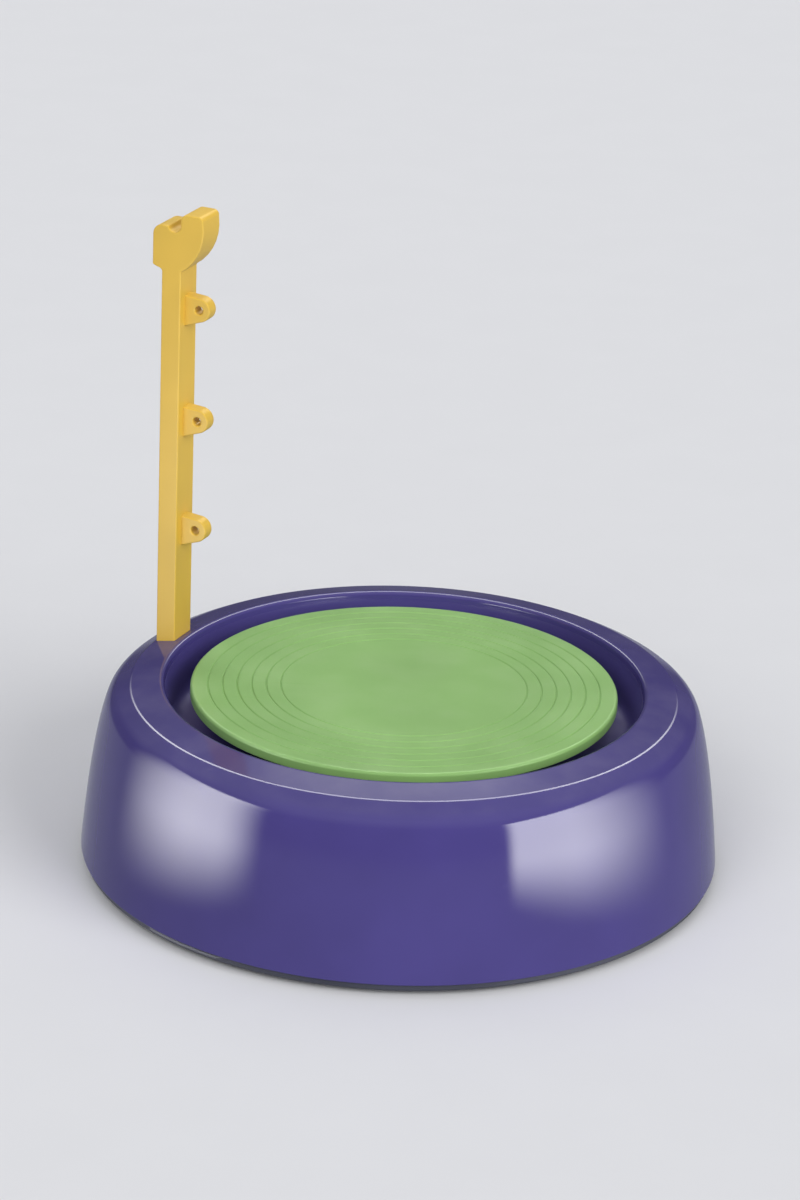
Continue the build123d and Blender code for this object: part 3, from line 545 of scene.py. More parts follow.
def ranged(tree, value, low, high, to_low=0.0, to_high=1.0, smooth=False):
    inputs = {"Value": value, "From Min": low, "From Max": high, "To Min": to_low, "To Max": to_high}
    kind = "SMOOTHSTEP" if smooth else "LINEAR"
    return add(tree, "ShaderNodeMapRange", inputs, interpolation_type=kind).outputs[0]


def blended(tree, mask, first, second):
    """Mix of two colours, each a link or three levels of light."""
    first = first if isinstance(first, bpy.types.NodeSocket) else (*first, 1)
    second = second if isinstance(second, bpy.types.NodeSocket) else (*second, 1)
    mix = add(tree, "ShaderNodeMix", {0: mask, 6: first, 7: second}, data_type="RGBA")
    return mix.outputs[2]


def noise(tree, vector, scale, detail=2.0):
    inputs = {"Vector": vector, "Scale": scale, "Detail": detail}
    return add(tree, "ShaderNodeTexNoise", inputs).outputs["Fac"]


def here(tree):
    """Place on the piece, in metres."""
    return add(tree, "ShaderNodeTexCoord").outputs["Object"]


def group(name, inputs, outputs, fill):
    """Shader node group, built once and then shared."""
    made = bpy.data.node_groups.get(name)
    if made:
        return made
    made = bpy.data.node_groups.new(name, "ShaderNodeTree")
    for label, value in inputs.items():
        socket = made.interface.new_socket(name=label, in_out="INPUT", socket_type="NodeSocketFloat")
        socket.default_value = value
    for label in outputs:
        made.interface.new_socket(name=label, in_out="OUTPUT", socket_type="NodeSocketFloat")
    taken = made.nodes.new("NodeGroupInput").outputs
    given = made.nodes.new("NodeGroupOutput").inputs
    for label, value in fill(made, taken).items():
        plug(made, given[label], value)
    return made


# Spans are the low and high values between which a pattern fades in
TONE_SPAN = (0.3, 0.7)
SCRATCH_RUNS = ((0.4, 0.03), (-0.9, 0.05))      # turn and stretch of each set of scratches
SCRATCH_TILT = (0.2, 0.1)
SCRATCH_SPAN = (0.62, 0.72)
HANDLED_SCALE = 22.0
HANDLED_SPAN = (0.45, 0.7)
DUST_SCALE = 60.0
DUST_SPAN = (0.42, 0.72)
UPWARD_SPAN = (0.7, 1.0)
SCOUR_SPAN = (2 * MM, 4 * MM)
SCOUR_EDGE = (-1 * MM, 0.0)


def moulded_grain(tree, taken):
    """Fine peel of a mould's surface, and the slow change of tone in the plastic."""
    place = here(tree)
    fine = noise(tree, place, taken["Grain Scale"], detail=3.0)
    slow = noise(tree, place, taken["Flow Scale"])
    return {"Height": fine, "Tone": ranged(tree, slow, *TONE_SPAN)}


def hairline_scuffs(tree, taken):
    """Fine handling scratches that run in two directions."""
    place = here(tree)
    masks = []
    for turn, stretch in SCRATCH_RUNS:
        inputs = {"Vector": place, "Rotation": (*SCRATCH_TILT, turn), "Scale": (stretch, 1.0, 1.0)}
        along = add(tree, "ShaderNodeMapping", inputs).outputs[0]
        streak = noise(tree, along, taken["Scale"], detail=4.0)
        masks.append(ranged(tree, streak, *SCRATCH_SPAN))
    patches = ranged(tree, noise(tree, place, HANDLED_SCALE), *HANDLED_SPAN)
    lines = calc(tree, "MAXIMUM", *masks)
    return {"Mask": calc(tree, "MULTIPLY", calc(tree, "MULTIPLY", lines, patches), taken["Amount"])}


def settled_dust(tree, taken):
    """Thin dry dust on faces that look up, in loose patches."""
    normal = add(tree, "ShaderNodeNewGeometry").outputs["Normal"]
    upward = add(tree, "ShaderNodeSeparateXYZ", {0: normal}).outputs["Z"]
    patches = ranged(tree, noise(tree, here(tree), DUST_SCALE, detail=6.0), *DUST_SPAN)
    lying = ranged(tree, upward, *UPWARD_SPAN)
    return {"Mask": calc(tree, "MULTIPLY", calc(tree, "MULTIPLY", patches, lying), taken["Amount"])}


def axis_distance(tree, place):
    """Distance of a place from the wheel's axis."""
    flat = add(tree, "ShaderNodeVectorMath", {0: place, 1: (1, 1, 0)}, operation="MULTIPLY")
    return add(tree, "ShaderNodeVectorMath", {0: flat.outputs[0]}, operation="LENGTH").outputs["Value"]


def turned_rings(tree, taken):
    """Fine uneven rings about the wheel's axis."""
    along = add(tree, "ShaderNodeCombineXYZ", {0: axis_distance(tree, here(tree))}).outputs[0]
    return {"Height": noise(tree, along, taken["Scale"], detail=3.0)}


def scoured_well(tree, taken):
    """Inside of the well below its lip, dulled by wet clay and wiping."""
    place = here(tree)
    level = add(tree, "ShaderNodeSeparateXYZ", {0: place}).outputs["Z"]
    drop = calc(tree, "SUBTRACT", taken["Level"], level)
    inset = calc(tree, "SUBTRACT", taken["Radius"], axis_distance(tree, place))
    below = ranged(tree, drop, *SCOUR_SPAN)
    inside = ranged(tree, inset, *SCOUR_EDGE)
    return {"Mask": calc(tree, "MULTIPLY", below, inside)}


# Shared effects: their inputs with usual values, their outputs, and what fills them
EFFECTS = {
    "Moulded Grain": ({"Grain Scale": 900.0, "Flow Scale": 30.0}, ("Height", "Tone"), moulded_grain),
    "Hairline Scuffs": ({"Scale": 700.0, "Amount": 0.3}, ("Mask",), hairline_scuffs),
    "Settled Dust": ({"Amount": 0.05}, ("Mask",), settled_dust),
    "Turned Rings": ({"Scale": 1500.0}, ("Height",), turned_rings),
    "Scoured Well": ({"Radius": 0.08, "Level": 0.06}, ("Mask",), scoured_well),
}


def effect(tree, name, values=()):
    """Outputs of a shared effect, placed in a material with its own values."""
    return add(tree, "ShaderNodeGroup", values, node_tree=group(name, *EFFECTS[name])).outputs


# Finishes

# Grain is a scale, depth is in metres, and tone, stain, scuffs and dust are shares
Moulding = namedtuple("Moulding", "roughness grain depth tone scuffs dust")
Metal = namedtuple("Metal", "roughness grain depth stain")

MOULDINGS = {
    "purple_shell": Moulding(0.07, 500.0, 0.000004, 0.06, 0.25, 0.05),
    "green_wheel": Moulding(0.42, 900.0, 0.00001, 0.08, 0.3, 0.06),
    "yellow_post": Moulding(0.45, 900.0, 0.00001, 0.07, 0.25, 0.04),
    "dark_base": Moulding(0.55, 1400.0, 0.00005, 0.15, 0.3, 0.05),
    "black_rubber": Moulding(0.8, 1800.0, 0.00006, 0.25, 0.2, 0.1),
    "white_gear": Moulding(0.45, 900.0, 0.00001, 0.04, 0.2, 0.0),
    "grey_frame": Moulding(0.5, 1200.0, 0.00003, 0.1, 0.3, 0.03),
    "black_switch": Moulding(0.45, 1300.0, 0.00004, 0.2, 0.3, 0.04),
    "red_wire": Moulding(0.4, 600.0, 0.00001, 0.1, 0.2, 0.0),
    "black_wire": Moulding(0.4, 600.0, 0.00001, 0.1, 0.2, 0.0),
}
METALS = {
    "bright_steel": Metal(0.22, 900.0, 0.000004, 0.1),
    "zinc_screw": Metal(0.32, 1200.0, 0.00001, 0.2),
    "bronze_bush": Metal(0.5, 2500.0, 0.00004, 0.3),
    "motor_steel": Metal(0.34, 700.0, 0.00001, 0.15),
    "cell_jacket": Metal(0.3, 800.0, 0.000006, 0.1),
    "contact_spring": Metal(0.25, 900.0, 0.000006, 0.15),
}
WORN_ROUGHNESS = 0.45       # added where a moulding is worn or dusty
SCRATCHED_ROUGHNESS = 0.4   # added where a metal is scratched
STAIN_SCALE = 160.0


def shaded(levels, share):
    """A colour made lighter, or darker by a negative share."""
    return [min(1, level * (1 + share)) for level in levels]


def new_material(name):
    material = bpy.data.materials.new(name)
    material.use_nodes = True
    return material, material.node_tree, material.node_tree.nodes["Principled BSDF"]


def bump(tree, shader, height, depth):
    made = add(tree, "ShaderNodeBump", {"Height": height, "Distance": depth, "Strength": 1.0})
    tree.links.new(made.outputs[0], shader.inputs["Normal"])


def moulded_material(slot, levels, dust_levels):
    """Moulded plastic or rubber with grain, tone, scuffs and a little dust."""
    look = MOULDINGS[slot]
    material, tree, shader = new_material(slot)
    grain = effect(tree, "Moulded Grain", {"Grain Scale": look.grain})
    scuffs = effect(tree, "Hairline Scuffs", {"Amount": look.scuffs})
    dust = effect(tree, "Settled Dust", {"Amount": look.dust})
    tone = blended(tree, grain["Tone"], shaded(levels, -look.tone), shaded(levels, look.tone))
    plug(tree, shader.inputs["Base Color"], blended(tree, dust["Mask"], tone, dust_levels))
    worn = calc(tree, "ADD", scuffs["Mask"], dust["Mask"])
    if slot == "purple_shell":
        shell = bpy.context.scene.pottery_wheel.shell
        well = effect(tree, "Scoured Well", {"Radius": shell.lip_radius, "Level": shell.lip_level})
        worn = calc(tree, "ADD", worn, well["Mask"])
    rough = ranged(tree, worn, 0.0, 1.0, look.roughness, look.roughness + WORN_ROUGHNESS)
    plug(tree, shader.inputs["Roughness"], rough)
    height = grain["Height"]
    if slot == "green_wheel":
        height = calc(tree, "ADD", height, effect(tree, "Turned Rings")["Height"])
    bump(tree, shader, height, look.depth)
    return material


def metal_material(slot, levels):
    """Bare or plated metal with fine grain and faint stains."""
    look = METALS[slot]
    material, tree, shader = new_material(slot)
    grain = effect(tree, "Moulded Grain", {"Grain Scale": look.grain, "Flow Scale": STAIN_SCALE})
    scuffs = effect(tree, "Hairline Scuffs")
    tone = blended(tree, grain["Tone"], shaded(levels, -look.stain), levels)
    plug(tree, shader.inputs["Base Color"], tone)
    rough = ranged(
        tree, scuffs["Mask"], 0.0, 1.0, look.roughness, look.roughness + SCRATCHED_ROUGHNESS
    )
    plug(tree, shader.inputs["Roughness"], rough)
    bump(tree, shader, grain["Height"], look.depth)
    shader.inputs["Metallic"].default_value = 1.0
    return material


def finish(slot):
    """The material of a slot, made the first time it is asked for."""
    made = bpy.data.materials.get("finish_" + slot)
    if made:
        return made
    colours = bpy.context.scene.pottery_wheel.colours
    levels = list(getattr(colours, slot))
    if slot in MOULDINGS:
        made = moulded_material(slot, levels, list(colours.dust))
    else:
        made = metal_material(slot, levels)
    made.name = "finish_" + slot
    return made


# Shell

def skin(shell, inset):
    """Outer wall, shoulder, ring, well wall and well floor, at a depth inside the outer skin."""
    foot = at(shell.foot_radius, shell.seam_level)
    lip = at(shell.lip_radius, shell.lip_level)
    crest = at(shell.crest_radius, shell.lip_level - shell.ring_fall)
    slope = shell.foot_radius - shell.wall_fall - shell.crest_radius
    shoulder = crest + at(slope, -slope * math.tan(shell.crest_slope))
    well = at(shell.well_radius, shell.floor_level)
    upright = math.pi / 2
    ways = [
        (foot, heading(upright + shell.foot_lean)),
        (shoulder, heading(upright + shell.shoulder_lean)),
        (crest, (crest - shoulder).normalized()),
        (lip, (lip - crest).normalized()),
        (well, (well - lip).normalized()),
        (well, at(-1, 0)),
    ]
    lines = [(point + at(-way.z, way.x) * inset, way) for point, way in ways]
    corners = [crossing(*pair) for pair in zip(lines, lines[1:])]
    start = crossing(lines[0], (foot, at(1, 0)))
    rounds = [
        0,
        max(shell.shoulder_round - inset, shell.corner_round),
        max(shell.crest_round - inset, shell.corner_round),
        max(shell.lip_round - inset, shell.corner_round),
        shell.well_round + inset,
    ]
    end = at(shell.boss_radius, shell.floor_level - inset)
    path = rounded_path(list(zip(corners, rounds)) + [(end, 0)])
    return bow(start, corners[0], path[1]) + path[2:]


def shell_section(shell):
    """Closed section of the shell, with the bearing boss at its inner end."""
    outer = skin(shell, 0)
    inner = skin(shell, shell.wall)
    edge = shell.corner_round
    boss = rounded_path([
        (outer[-2], 0),
        (outer[-1], 2 * edge),
        (at(shell.boss_radius, shell.boss_top), edge),
        (at(shell.boss_bore, shell.boss_top), edge),
        (at(shell.boss_bore, shell.boss_low), edge),
        (at(shell.boss_radius, shell.boss_low), edge),
        (inner[-1], edge),
        (inner[-2], 0),
    ])
    outer_foot = round_corner(inner[0], outer[0], outer[1], shell.edge_round)
    inner_foot = round_corner(inner[1], inner[0], outer[0], shell.edge_round)
    return outer_foot + outer[1:-2] + boss + inner[-3:0:-1] + inner_foot


def pocket_prism(name, shell, grow, face):
    """Rounded block that reaches out through the back wall."""
    outline = rectangle(
        shell.pocket_half_width + grow, shell.pocket_half_height + grow, shell.pocket_round
    )
    place = Vector((0, face, shell.pocket_level))
    return prism(name, [point + place for point in outline], Vector((0, shell.foot_radius - face, 0)))


def post_frame(post):
    """The post's place, its way to the wheel's axis and its way across."""
    outward = Vector((math.cos(post.turn), math.sin(post.turn), 0))
    return outward * post.circle, -outward, UP.cross(outward)


def post_prism(name, post, grow, low, high):
    """Upright bar of the post's section, larger all round by a gap."""
    place, inward, across = post_frame(post)
    plan = rectangle(post.depth / 2 + grow, post.width / 2 + grow)
    outline = [place + inward * p.x + across * p.z + UP * low for p in plan]
    return prism(name, outline, UP * (high - low))


class POTTERYWHEEL_OT_shell(bpy.types.Operator):
    """Model the purple shell with its well, post socket and switch pocket"""
    bl_idname = "pottery_wheel.shell"
    bl_label = "Shell"
    bl_options = {"REGISTER", "UNDO"}

    def execute(self, context):
        shell = context.scene.pottery_wheel.shell
        post = context.scene.pottery_wheel.post
        section = shell_section(shell)
        piece = turned("shell", section + section[:1], TURN_STEPS)
        middle = skin(shell, shell.wall / 2)
        axis_foot = at(0, shell.seam_level)
        axis_top = at(0, shell.floor_level - shell.wall / 2)
        envelope = turned("envelope", [axis_foot] + middle + [axis_top], TURN_STEPS)
        pocket_back = shell.pocket_face - shell.wall
        socket_wall = post.slack + shell.wall
        walls = joined("walls", [
            pocket_prism("pocket_walls", shell, shell.wall, pocket_back),
            post_prism("socket_walls", post, socket_wall, post.low - shell.wall, shell.lip_level),
        ])
        combine(walls, "INTERSECT", envelope)
        combine(piece, "UNION", walls)
        slot = Vector((shell.slot_half_width, shell.wall, shell.slot_half_height))
        slot_place = Vector((0, pocket_back, shell.pocket_level))
        cuts = joined("cuts", [
            pocket_prism("pocket", shell, 0, shell.pocket_face),
            post_prism("socket", post, post.slack, post.low, post.top),
        ])
        combine(piece, "DIFFERENCE", cuts)
        combine(piece, "DIFFERENCE", block("slot", slot_place - slot, slot_place + 2 * slot))
        finish_piece(piece, "base", "purple_shell", "housing")
        return {"FINISHED"}


# Wheel head and hub

def groove_corners(wheel):
    """Corners of the grooves, from the innermost outwards, with their rounds."""
    corners = []
    half = wheel.groove_width / 2
    for n in reversed(range(wheel.groove_count)):
        radius = wheel.radius - wheel.groove_margin - n * wheel.groove_pitch
        corners.append((at(radius - half, wheel.top), wheel.groove_round))
        corners.append((at(radius, wheel.top - wheel.groove_depth), wheel.groove_round))
        corners.append((at(radius + half, wheel.top), wheel.groove_round))
    return corners


def six_sided(flats, level):
    """Key outline with a flat towards +Y, as points at a level."""
    points = circle(ORIGIN, flats / math.sqrt(3), 6)
    return [Vector((p.x, p.z, level)) for p in points]


class POTTERYWHEEL_OT_wheel_head(bpy.types.Operator):
    """Model the green wheel head with its grooves, ribs and key socket"""
    bl_idname = "pottery_wheel.wheel_head"
    bl_label = "Wheel Head"
    bl_options = {"REGISTER", "UNDO"}

    def execute(self, context):
        wheel = context.scene.pottery_wheel.wheel
        inner = wheel.radius - wheel.rim_wall
        edge = wheel.small_round
        profile = rounded_path([
            (at(0, wheel.top), 0),
            *groove_corners(wheel),
            (at(wheel.radius, wheel.top), wheel.edge_round),
            (at(wheel.radius, wheel.rim_level), edge),
            (at(inner, wheel.rim_level), edge),
            (at(inner, wheel.web), 2 * edge),
            (at(wheel.tube_radius, wheel.web), 2 * edge),
            (at(wheel.tube_radius, wheel.tube_low), edge),
            (at(0, wheel.tube_low), 0),
        ])
        piece = turned("wheel_head", profile, TURN_STEPS)
        half = wheel.rib_thick / 2
        wall = (wheel.tube_radius - wheel.socket_flats / math.sqrt(3)) / 2
        low = Vector((wheel.tube_radius - wall, -half, wheel.web - wheel.rib_drop))
        high = Vector((inner + wheel.rim_wall / 2, half, wheel.web + wheel.rib_thick / 2))
        ribs = block("ribs", low, high)
        open_mesh(ribs)
        last = 2 * math.pi * (wheel.rib_count - 1) / wheel.rib_count
        bpy.ops.mesh.spin(
            steps=wheel.rib_count - 1, dupli=True, angle=last, center=ORIGIN, axis=UP
        )
        close_up(ribs)
        combine(piece, "UNION", ribs)
        depth = wheel.web - wheel.tube_low
        below = wheel.tube_low - depth
        socket = prism("socket", six_sided(wheel.socket_flats, below), UP * (2 * depth))
        combine(piece, "DIFFERENCE", socket)
        finish_piece(piece, "turntable", "green_wheel", "turntable")
        return {"FINISHED"}


class POTTERYWHEEL_OT_hub(bpy.types.Operator):
    """Model the drive hub with its six-sided key"""
    bl_idname = "pottery_wheel.hub"
    bl_label = "Drive Hub"
    bl_options = {"REGISTER", "UNDO"}

    def execute(self, context):
        wheel = context.scene.pottery_wheel.wheel
        edge = wheel.small_round
        profile = rounded_path([
            (at(0, wheel.flange_low), 0),
            (at(wheel.skirt_inner, wheel.flange_low), edge),
            (at(wheel.skirt_inner, HUB_LOW.z), edge),
            (at(wheel.skirt_outer, HUB_LOW.z), edge),
            (at(wheel.skirt_outer, wheel.flange_low), edge),
            (at(wheel.flange_radius, wheel.flange_low), edge),
            (at(wheel.flange_radius, wheel.tube_low), edge),
            (at(0, wheel.tube_low), 0),
        ])
        piece = turned("hub_with_key", profile, SMALL_STEPS)
        middle = (wheel.flange_low + wheel.tube_low) / 2
        key = prism("key", six_sided(wheel.key_flats, middle), UP * (HUB_HIGH.z - middle))
        bevel(key, wheel.key_chamfer, 2)
        combine(piece, "UNION", key)
        finish_piece(piece, "spindle", "grey_frame", "drive_hub")
        return {"FINISHED"}


# Guide post

def post_outline(post):
    """Shaft and forked head, seen square on: X is towards the wheel's axis."""
    half = post.depth / 2
    neck = post.top - post.head_height
    low_top = post.top - post.lobe_step
    outer = -half - post.outer_lobe
    inner = half + post.inner_lobe
    drop = post.top - post.inner_round
    saddle_low = at((post.saddle_to - post.saddle_from) / 2, low_top - post.saddle_depth)
    saddle = arc_through(at(-post.saddle_from, low_top), saddle_low, at(post.saddle_to, low_top))
    bulge = at((half + inner) / 2 + post.flank_bulge, (drop + neck) / 2 - post.flank_bulge)
    flank = arc_through(at(inner, drop), bulge, at(half, neck))
    outer_side = rounded_path([
        (at(half, post.low), 0),
        (at(-half, post.low), 0),
        (at(-half, neck), 2 * post.edge_round),
        (at(outer, neck + post.undercut_rise), post.edge_round),
        (at(outer, low_top), post.outer_round),
        (saddle[0], 0),
    ])
    inner_side = rounded_path([
        (saddle[-1], 0),
        (at(post.saddle_to, post.top), post.inner_round),
        (at(inner, post.top), post.tip_round),
        (flank[0], 0),
    ])
    return outer_side + saddle[1:-1] + inner_side + flank[1:]


def tangent_point(point, centre, radius, side):
    """Where a line from a point touches a circle."""
    spoke = (point - centre).normalized() * radius
    turn = math.acos(radius / (point - centre).length)
    return centre + Quaternion((0, 1, 0), side * turn) @ spoke


def eyelet_outline(post, level):
    """Lug round an eyelet's hole, from its root inside the shaft."""
    half = post.depth / 2
    centre = at(half + post.eye_reach, level)
    above = at(half, level + post.eye_root_up)
    below = at(half, level - post.eye_root_down)
    start = tangent_point(above, centre, post.eye_round, 1)
    end = tangent_point(below, centre, post.eye_round, -1)
    tip = centre + at(post.eye_round, 0)
    arc = arc_through(start, tip, end)
    return [at(0, above.z), above] + arc + [below, at(0, below.z)]


def post_plate(name, post, outline, thick):
    """Solid of an outline stood on the post's own plane."""
    place, inward, across = post_frame(post)
    side = across * (thick / 2)
    return prism(name, [place + inward * p.x + UP * p.z - side for p in outline], 2 * side)


class POTTERYWHEEL_OT_guide_post(bpy.types.Operator):
    """Model the yellow guide post with its eyelets and forked head"""
    bl_idname = "pottery_wheel.guide_post"
    bl_label = "Guide Post"
    bl_options = {"REGISTER", "UNDO"}

    def execute(self, context):
        post = context.scene.pottery_wheel.post
        piece = post_plate("post_with_eyelets", post, post_outline(post), post.width)
        bevel(piece, post.edge_round)
        eyelet = post_plate("eyelet", post, eyelet_outline(post, post.eye_first), post.eye_thick)
        hole_place = at(post.depth / 2 + post.eye_reach, post.eye_first)
        hole = circle(hole_place, post.eye_hole, SMALL_STEPS // 2)
        combine(eyelet, "DIFFERENCE", post_plate("hole", post, hole, 2 * post.eye_thick))
        bevel(eyelet, post.eye_edge)
        copies = [copy_of(eyelet, UP * (post.eye_pitch * n)) for n in range(1, post.eye_count)]
        combine(piece, "UNION", joined("eyelets", [eyelet] + copies))
        finish_piece(piece, "guide_post", "yellow_post", "guide_post")
        return {"FINISHED"}


# Base, feet, screws, knob and cells

FOOT_TURNS = (45, 135, 225, 315)
SCREW_TURNS = (60, 120, 240, 300)
DISH_SHARE = 0.6            # of a foot's radius
HEAD_CROWN = 0.45           # rounds and recess depth of a screw, as shares of its head's height
HEAD_EDGE = 0.1
RECESS_DEPTH = 0.55
RECESS_REACH = 0.6          # half length and half width of the recess, as shares of the head's radius
RECESS_WIDTH = 0.13
SHANK_TIP = 0.2             # of the shank's radius
CRIMP_SHARE = 0.1           # of a cell's radius
NUB_ROUND = 0.5 * MM
NUB_FOOT_ROUND = 0.3 * MM


def around(radius, degrees):
    turn = math.radians(degrees)
    return Vector((math.cos(turn), math.sin(turn), 0)) * radius


def cross_screw(name, low, head, head_height, shank, high):
    """Screw on the Z axis, head down, with a cross recess."""
    under = low + head_height
    profile = rounded_path([
        (at(0, low), 0),
        (at(head, low), HEAD_CROWN * head_height),
        (at(head, under), HEAD_EDGE * head_height),
        (at(shank, under), 0),
        (at(shank, high - shank), 0),
        (at(SHANK_TIP * shank, high), 0),
        (at(0, high), 0),
    ])
    screw = turned(name, profile, SMALL_STEPS)
    long_half = RECESS_REACH * head
    thin_half = RECESS_WIDTH * head
    depth = RECESS_DEPTH * head_height
    for x, y in ((long_half, thin_half), (thin_half, long_half)):
        reach = Vector((x, y, depth))
        foot = Vector((0, 0, low))
        combine(screw, "DIFFERENCE", block("recess", foot - reach, foot + reach))
    return screw


def placed_set(name, piece, places):
    """Copies of one piece at each place, as one mesh."""
    copies = [copy_of(piece, place) for place in places]
    bpy.data.objects.remove(piece)
    return joined(name, copies)


class POTTERYWHEEL_OT_base(bpy.types.Operator):
    """Finish the base plate and the battery door with clean rounded edges"""
    bl_idname = "pottery_wheel.base"
    bl_label = "Base Plate and Door"
    bl_options = {"REGISTER", "UNDO"}

    def execute(self, context):
        small = context.scene.pottery_wheel.small
        plate = merged_copy("base_plate_moulding", "base_plate")
        finish_piece(plate, "base", "dark_base", "base_plate")
        door = merged_copy("battery_door_moulding", "battery_door")
        bevel(door, small.plate_round, 2)
        finish_piece(door, "battery_door", "dark_base", "battery_door")
        return {"FINISHED"}


class POTTERYWHEEL_OT_feet(bpy.types.Operator):
    """Model the four rubber feet"""
    bl_idname = "pottery_wheel.feet"
    bl_label = "Rubber Feet"
    bl_options = {"REGISTER", "UNDO"}

    def execute(self, context):
        small = context.scene.pottery_wheel.small
        low = FOOT_LOW.z
        dish = DISH_SHARE * small.foot_radius
        profile = rounded_path([
            (at(0, low + small.foot_dish), 0),
            (at(dish, low + small.foot_dish), small.foot_dish),
            (at(dish + 2 * small.foot_dish, low), small.foot_dish),
            (at(small.foot_radius, low), small.foot_round),
            (at(small.foot_radius, FOOT_HIGH.z), 0),
            (at(0, FOOT_HIGH.z), 0),
        ])
        foot = turned("foot", profile, SMALL_STEPS)
        places = [around(small.foot_circle, turn) for turn in FOOT_TURNS]
        feet = placed_set("foot_pads", foot, places)
        finish_piece(feet, "base", "black_rubber", "rubber_feet")
        return {"FINISHED"}


class POTTERYWHEEL_OT_screws(bpy.types.Operator):
    """Model the case screws and the door screws"""
    bl_idname = "pottery_wheel.screws"
    bl_label = "Screws"
    bl_options = {"REGISTER", "UNDO"}

    def execute(self, context):
        small = context.scene.pottery_wheel.small
        screw = cross_screw(
            "case_screw", CASE_SCREW_LOW.z, small.case_head, small.case_head_height,
            small.case_shank, CASE_SCREW_HIGH.z,
        )
        places = [around(small.screw_circle, turn) for turn in SCREW_TURNS]
        screws = placed_set("case_screw_set", screw, places)
        finish_piece(screws, "base", "zinc_screw", "case_screws")
        screw = cross_screw(
            "door_screw", DOOR_SCREW_LOW.z, small.door_head, small.door_head_height,
            small.door_shank, DOOR_SCREW_HIGH.z,
        )
        ends = (DOOR_SCREW_LOW.y + small.door_head, DOOR_SCREW_HIGH.y - small.door_head)
        screws = placed_set("door_screw_set", screw, [Vector((0, y, 0)) for y in ends])
        finish_piece(screws, "battery_door", "zinc_screw", "door_screws")
        return {"FINISHED"}


class POTTERYWHEEL_OT_knob(bpy.types.Operator):
    """Model the switch's slide knob with its grip grooves"""
    bl_idname = "pottery_wheel.knob"
    bl_label = "Switch Knob"
    bl_options = {"REGISTER", "UNDO"}

    def execute(self, context):
        small = context.scene.pottery_wheel.small
        face = KNOB_HIGH.y - small.knob_stand
        low = Vector((KNOB_LOW.x, face, KNOB_LOW.z))
        cap = block("slide_knob", low, KNOB_HIGH)
        middle = (low + KNOB_HIGH) / 2
        half_height = KNOB_HIGH.z - middle.z
        groove = Vector((small.knob_groove / 2, small.knob_groove_depth, half_height + OVERLAP))
        front = Vector((middle.x, KNOB_HIGH.y, middle.z))
        cutter = block("grooves", front - groove, front + groove)
        pitch = (KNOB_HIGH.x - KNOB_LOW.x) / 4
        cutters = [cutter] + [copy_of(cutter, Vector((side * pitch, 0, 0))) for side in (-1, 1)]
        combine(cap, "DIFFERENCE", joined("grooves", cutters))
        bevel(cap, small.knob_round, 2)
        half = small.stem_width / 2
        stem_low = Vector((middle.x - half, KNOB_LOW.y, middle.z - half))
        stem_high = Vector((middle.x + half, face + OVERLAP, middle.z + half))
        combine(cap, "UNION", block("stem", stem_low, stem_high))
        finish_piece(cap, "switch_knob", "black_switch", "switch_knob")
        return {"FINISHED"}


class POTTERYWHEEL_OT_cells(bpy.types.Operator):
    """Model the four plain cells"""
    bl_idname = "pottery_wheel.cells"
    bl_label = "Battery Cells"
    bl_options = {"REGISTER", "UNDO"}

    def execute(self, context):
        small = context.scene.pottery_wheel.small
        level = (CELL_LOW.z + CELL_HIGH.z) / 2
        pitch = (CELL_HIGH.x - CELL_LOW.x - 2 * small.cell_radius) / (small.cell_count - 1)
        cells = []
        for n in range(small.cell_count):
            nub_end, way = (CELL_HIGH.y, -1) if n % 2 else (CELL_LOW.y, 1)
            place = Vector((CELL_LOW.x + small.cell_radius + n * pitch, 0, level))
            cells.append(self.cell(small, nub_end, way, place))
        piece = joined("cell_set", cells)
        finish_piece(piece, "base", "cell_jacket", "battery_cells")
        return {"FINISHED"}

    def cell(self, small, nub_end, way, place):
        """One cell with crimped ends, along Y from its nub."""
        crimp = CRIMP_SHARE * small.cell_radius
        shoulder = small.nub_length
        far = small.cell_length
        outline = rounded_path([
            (at(0, 0), 0),
            (at(small.nub_radius, 0), NUB_ROUND),
            (at(small.nub_radius, shoulder), NUB_FOOT_ROUND),
            (at(small.cell_radius - crimp, shoulder), crimp / 2),
            (at(small.cell_radius, shoulder + crimp), crimp / 2),
            (at(small.cell_radius, far - crimp), crimp / 2),
            (at(small.cell_radius - crimp, far), crimp / 2),
            (at(0, far), 0),
        ])
        profile = [Vector((p.x, nub_end + way * p.z, 0)) for p in outline]
        cell = turned("cell", profile, SMALL_STEPS, Vector((0, 1, 0)))
        return placed_set("cell", cell, [place])


class POTTERYWHEEL_OT_inner_finish(bpy.types.Operator):
    """Give every piece of the frame that is still shown its slot's finish"""
    bl_idname = "pottery_wheel.inner_finish"
    bl_label = "Inner Pieces"
    bl_options = {"REGISTER", "UNDO"}

    def execute(self, context):
        for part in frame["record"]["subparts"]:
            node = frame["nodes"][part["node"]]
            node.data.materials.clear()
            node.data.materials.append(finish(part["material_slot"]))
        return {"FINISHED"}


# Stage

Lamp = namedtuple("Lamp", "name place light spread")
Softbox = namedtuple("Softbox", "name place aim width height radiance fades")

# Soft even lamps that no surface mirrors
LAMPS = (
    Lamp("key", (-0.6, -1.5, 1.1), 1.25, math.radians(40)),
    Lamp("fill", (1.2, -1.15, 0.8), 1.85, math.radians(40)),
)
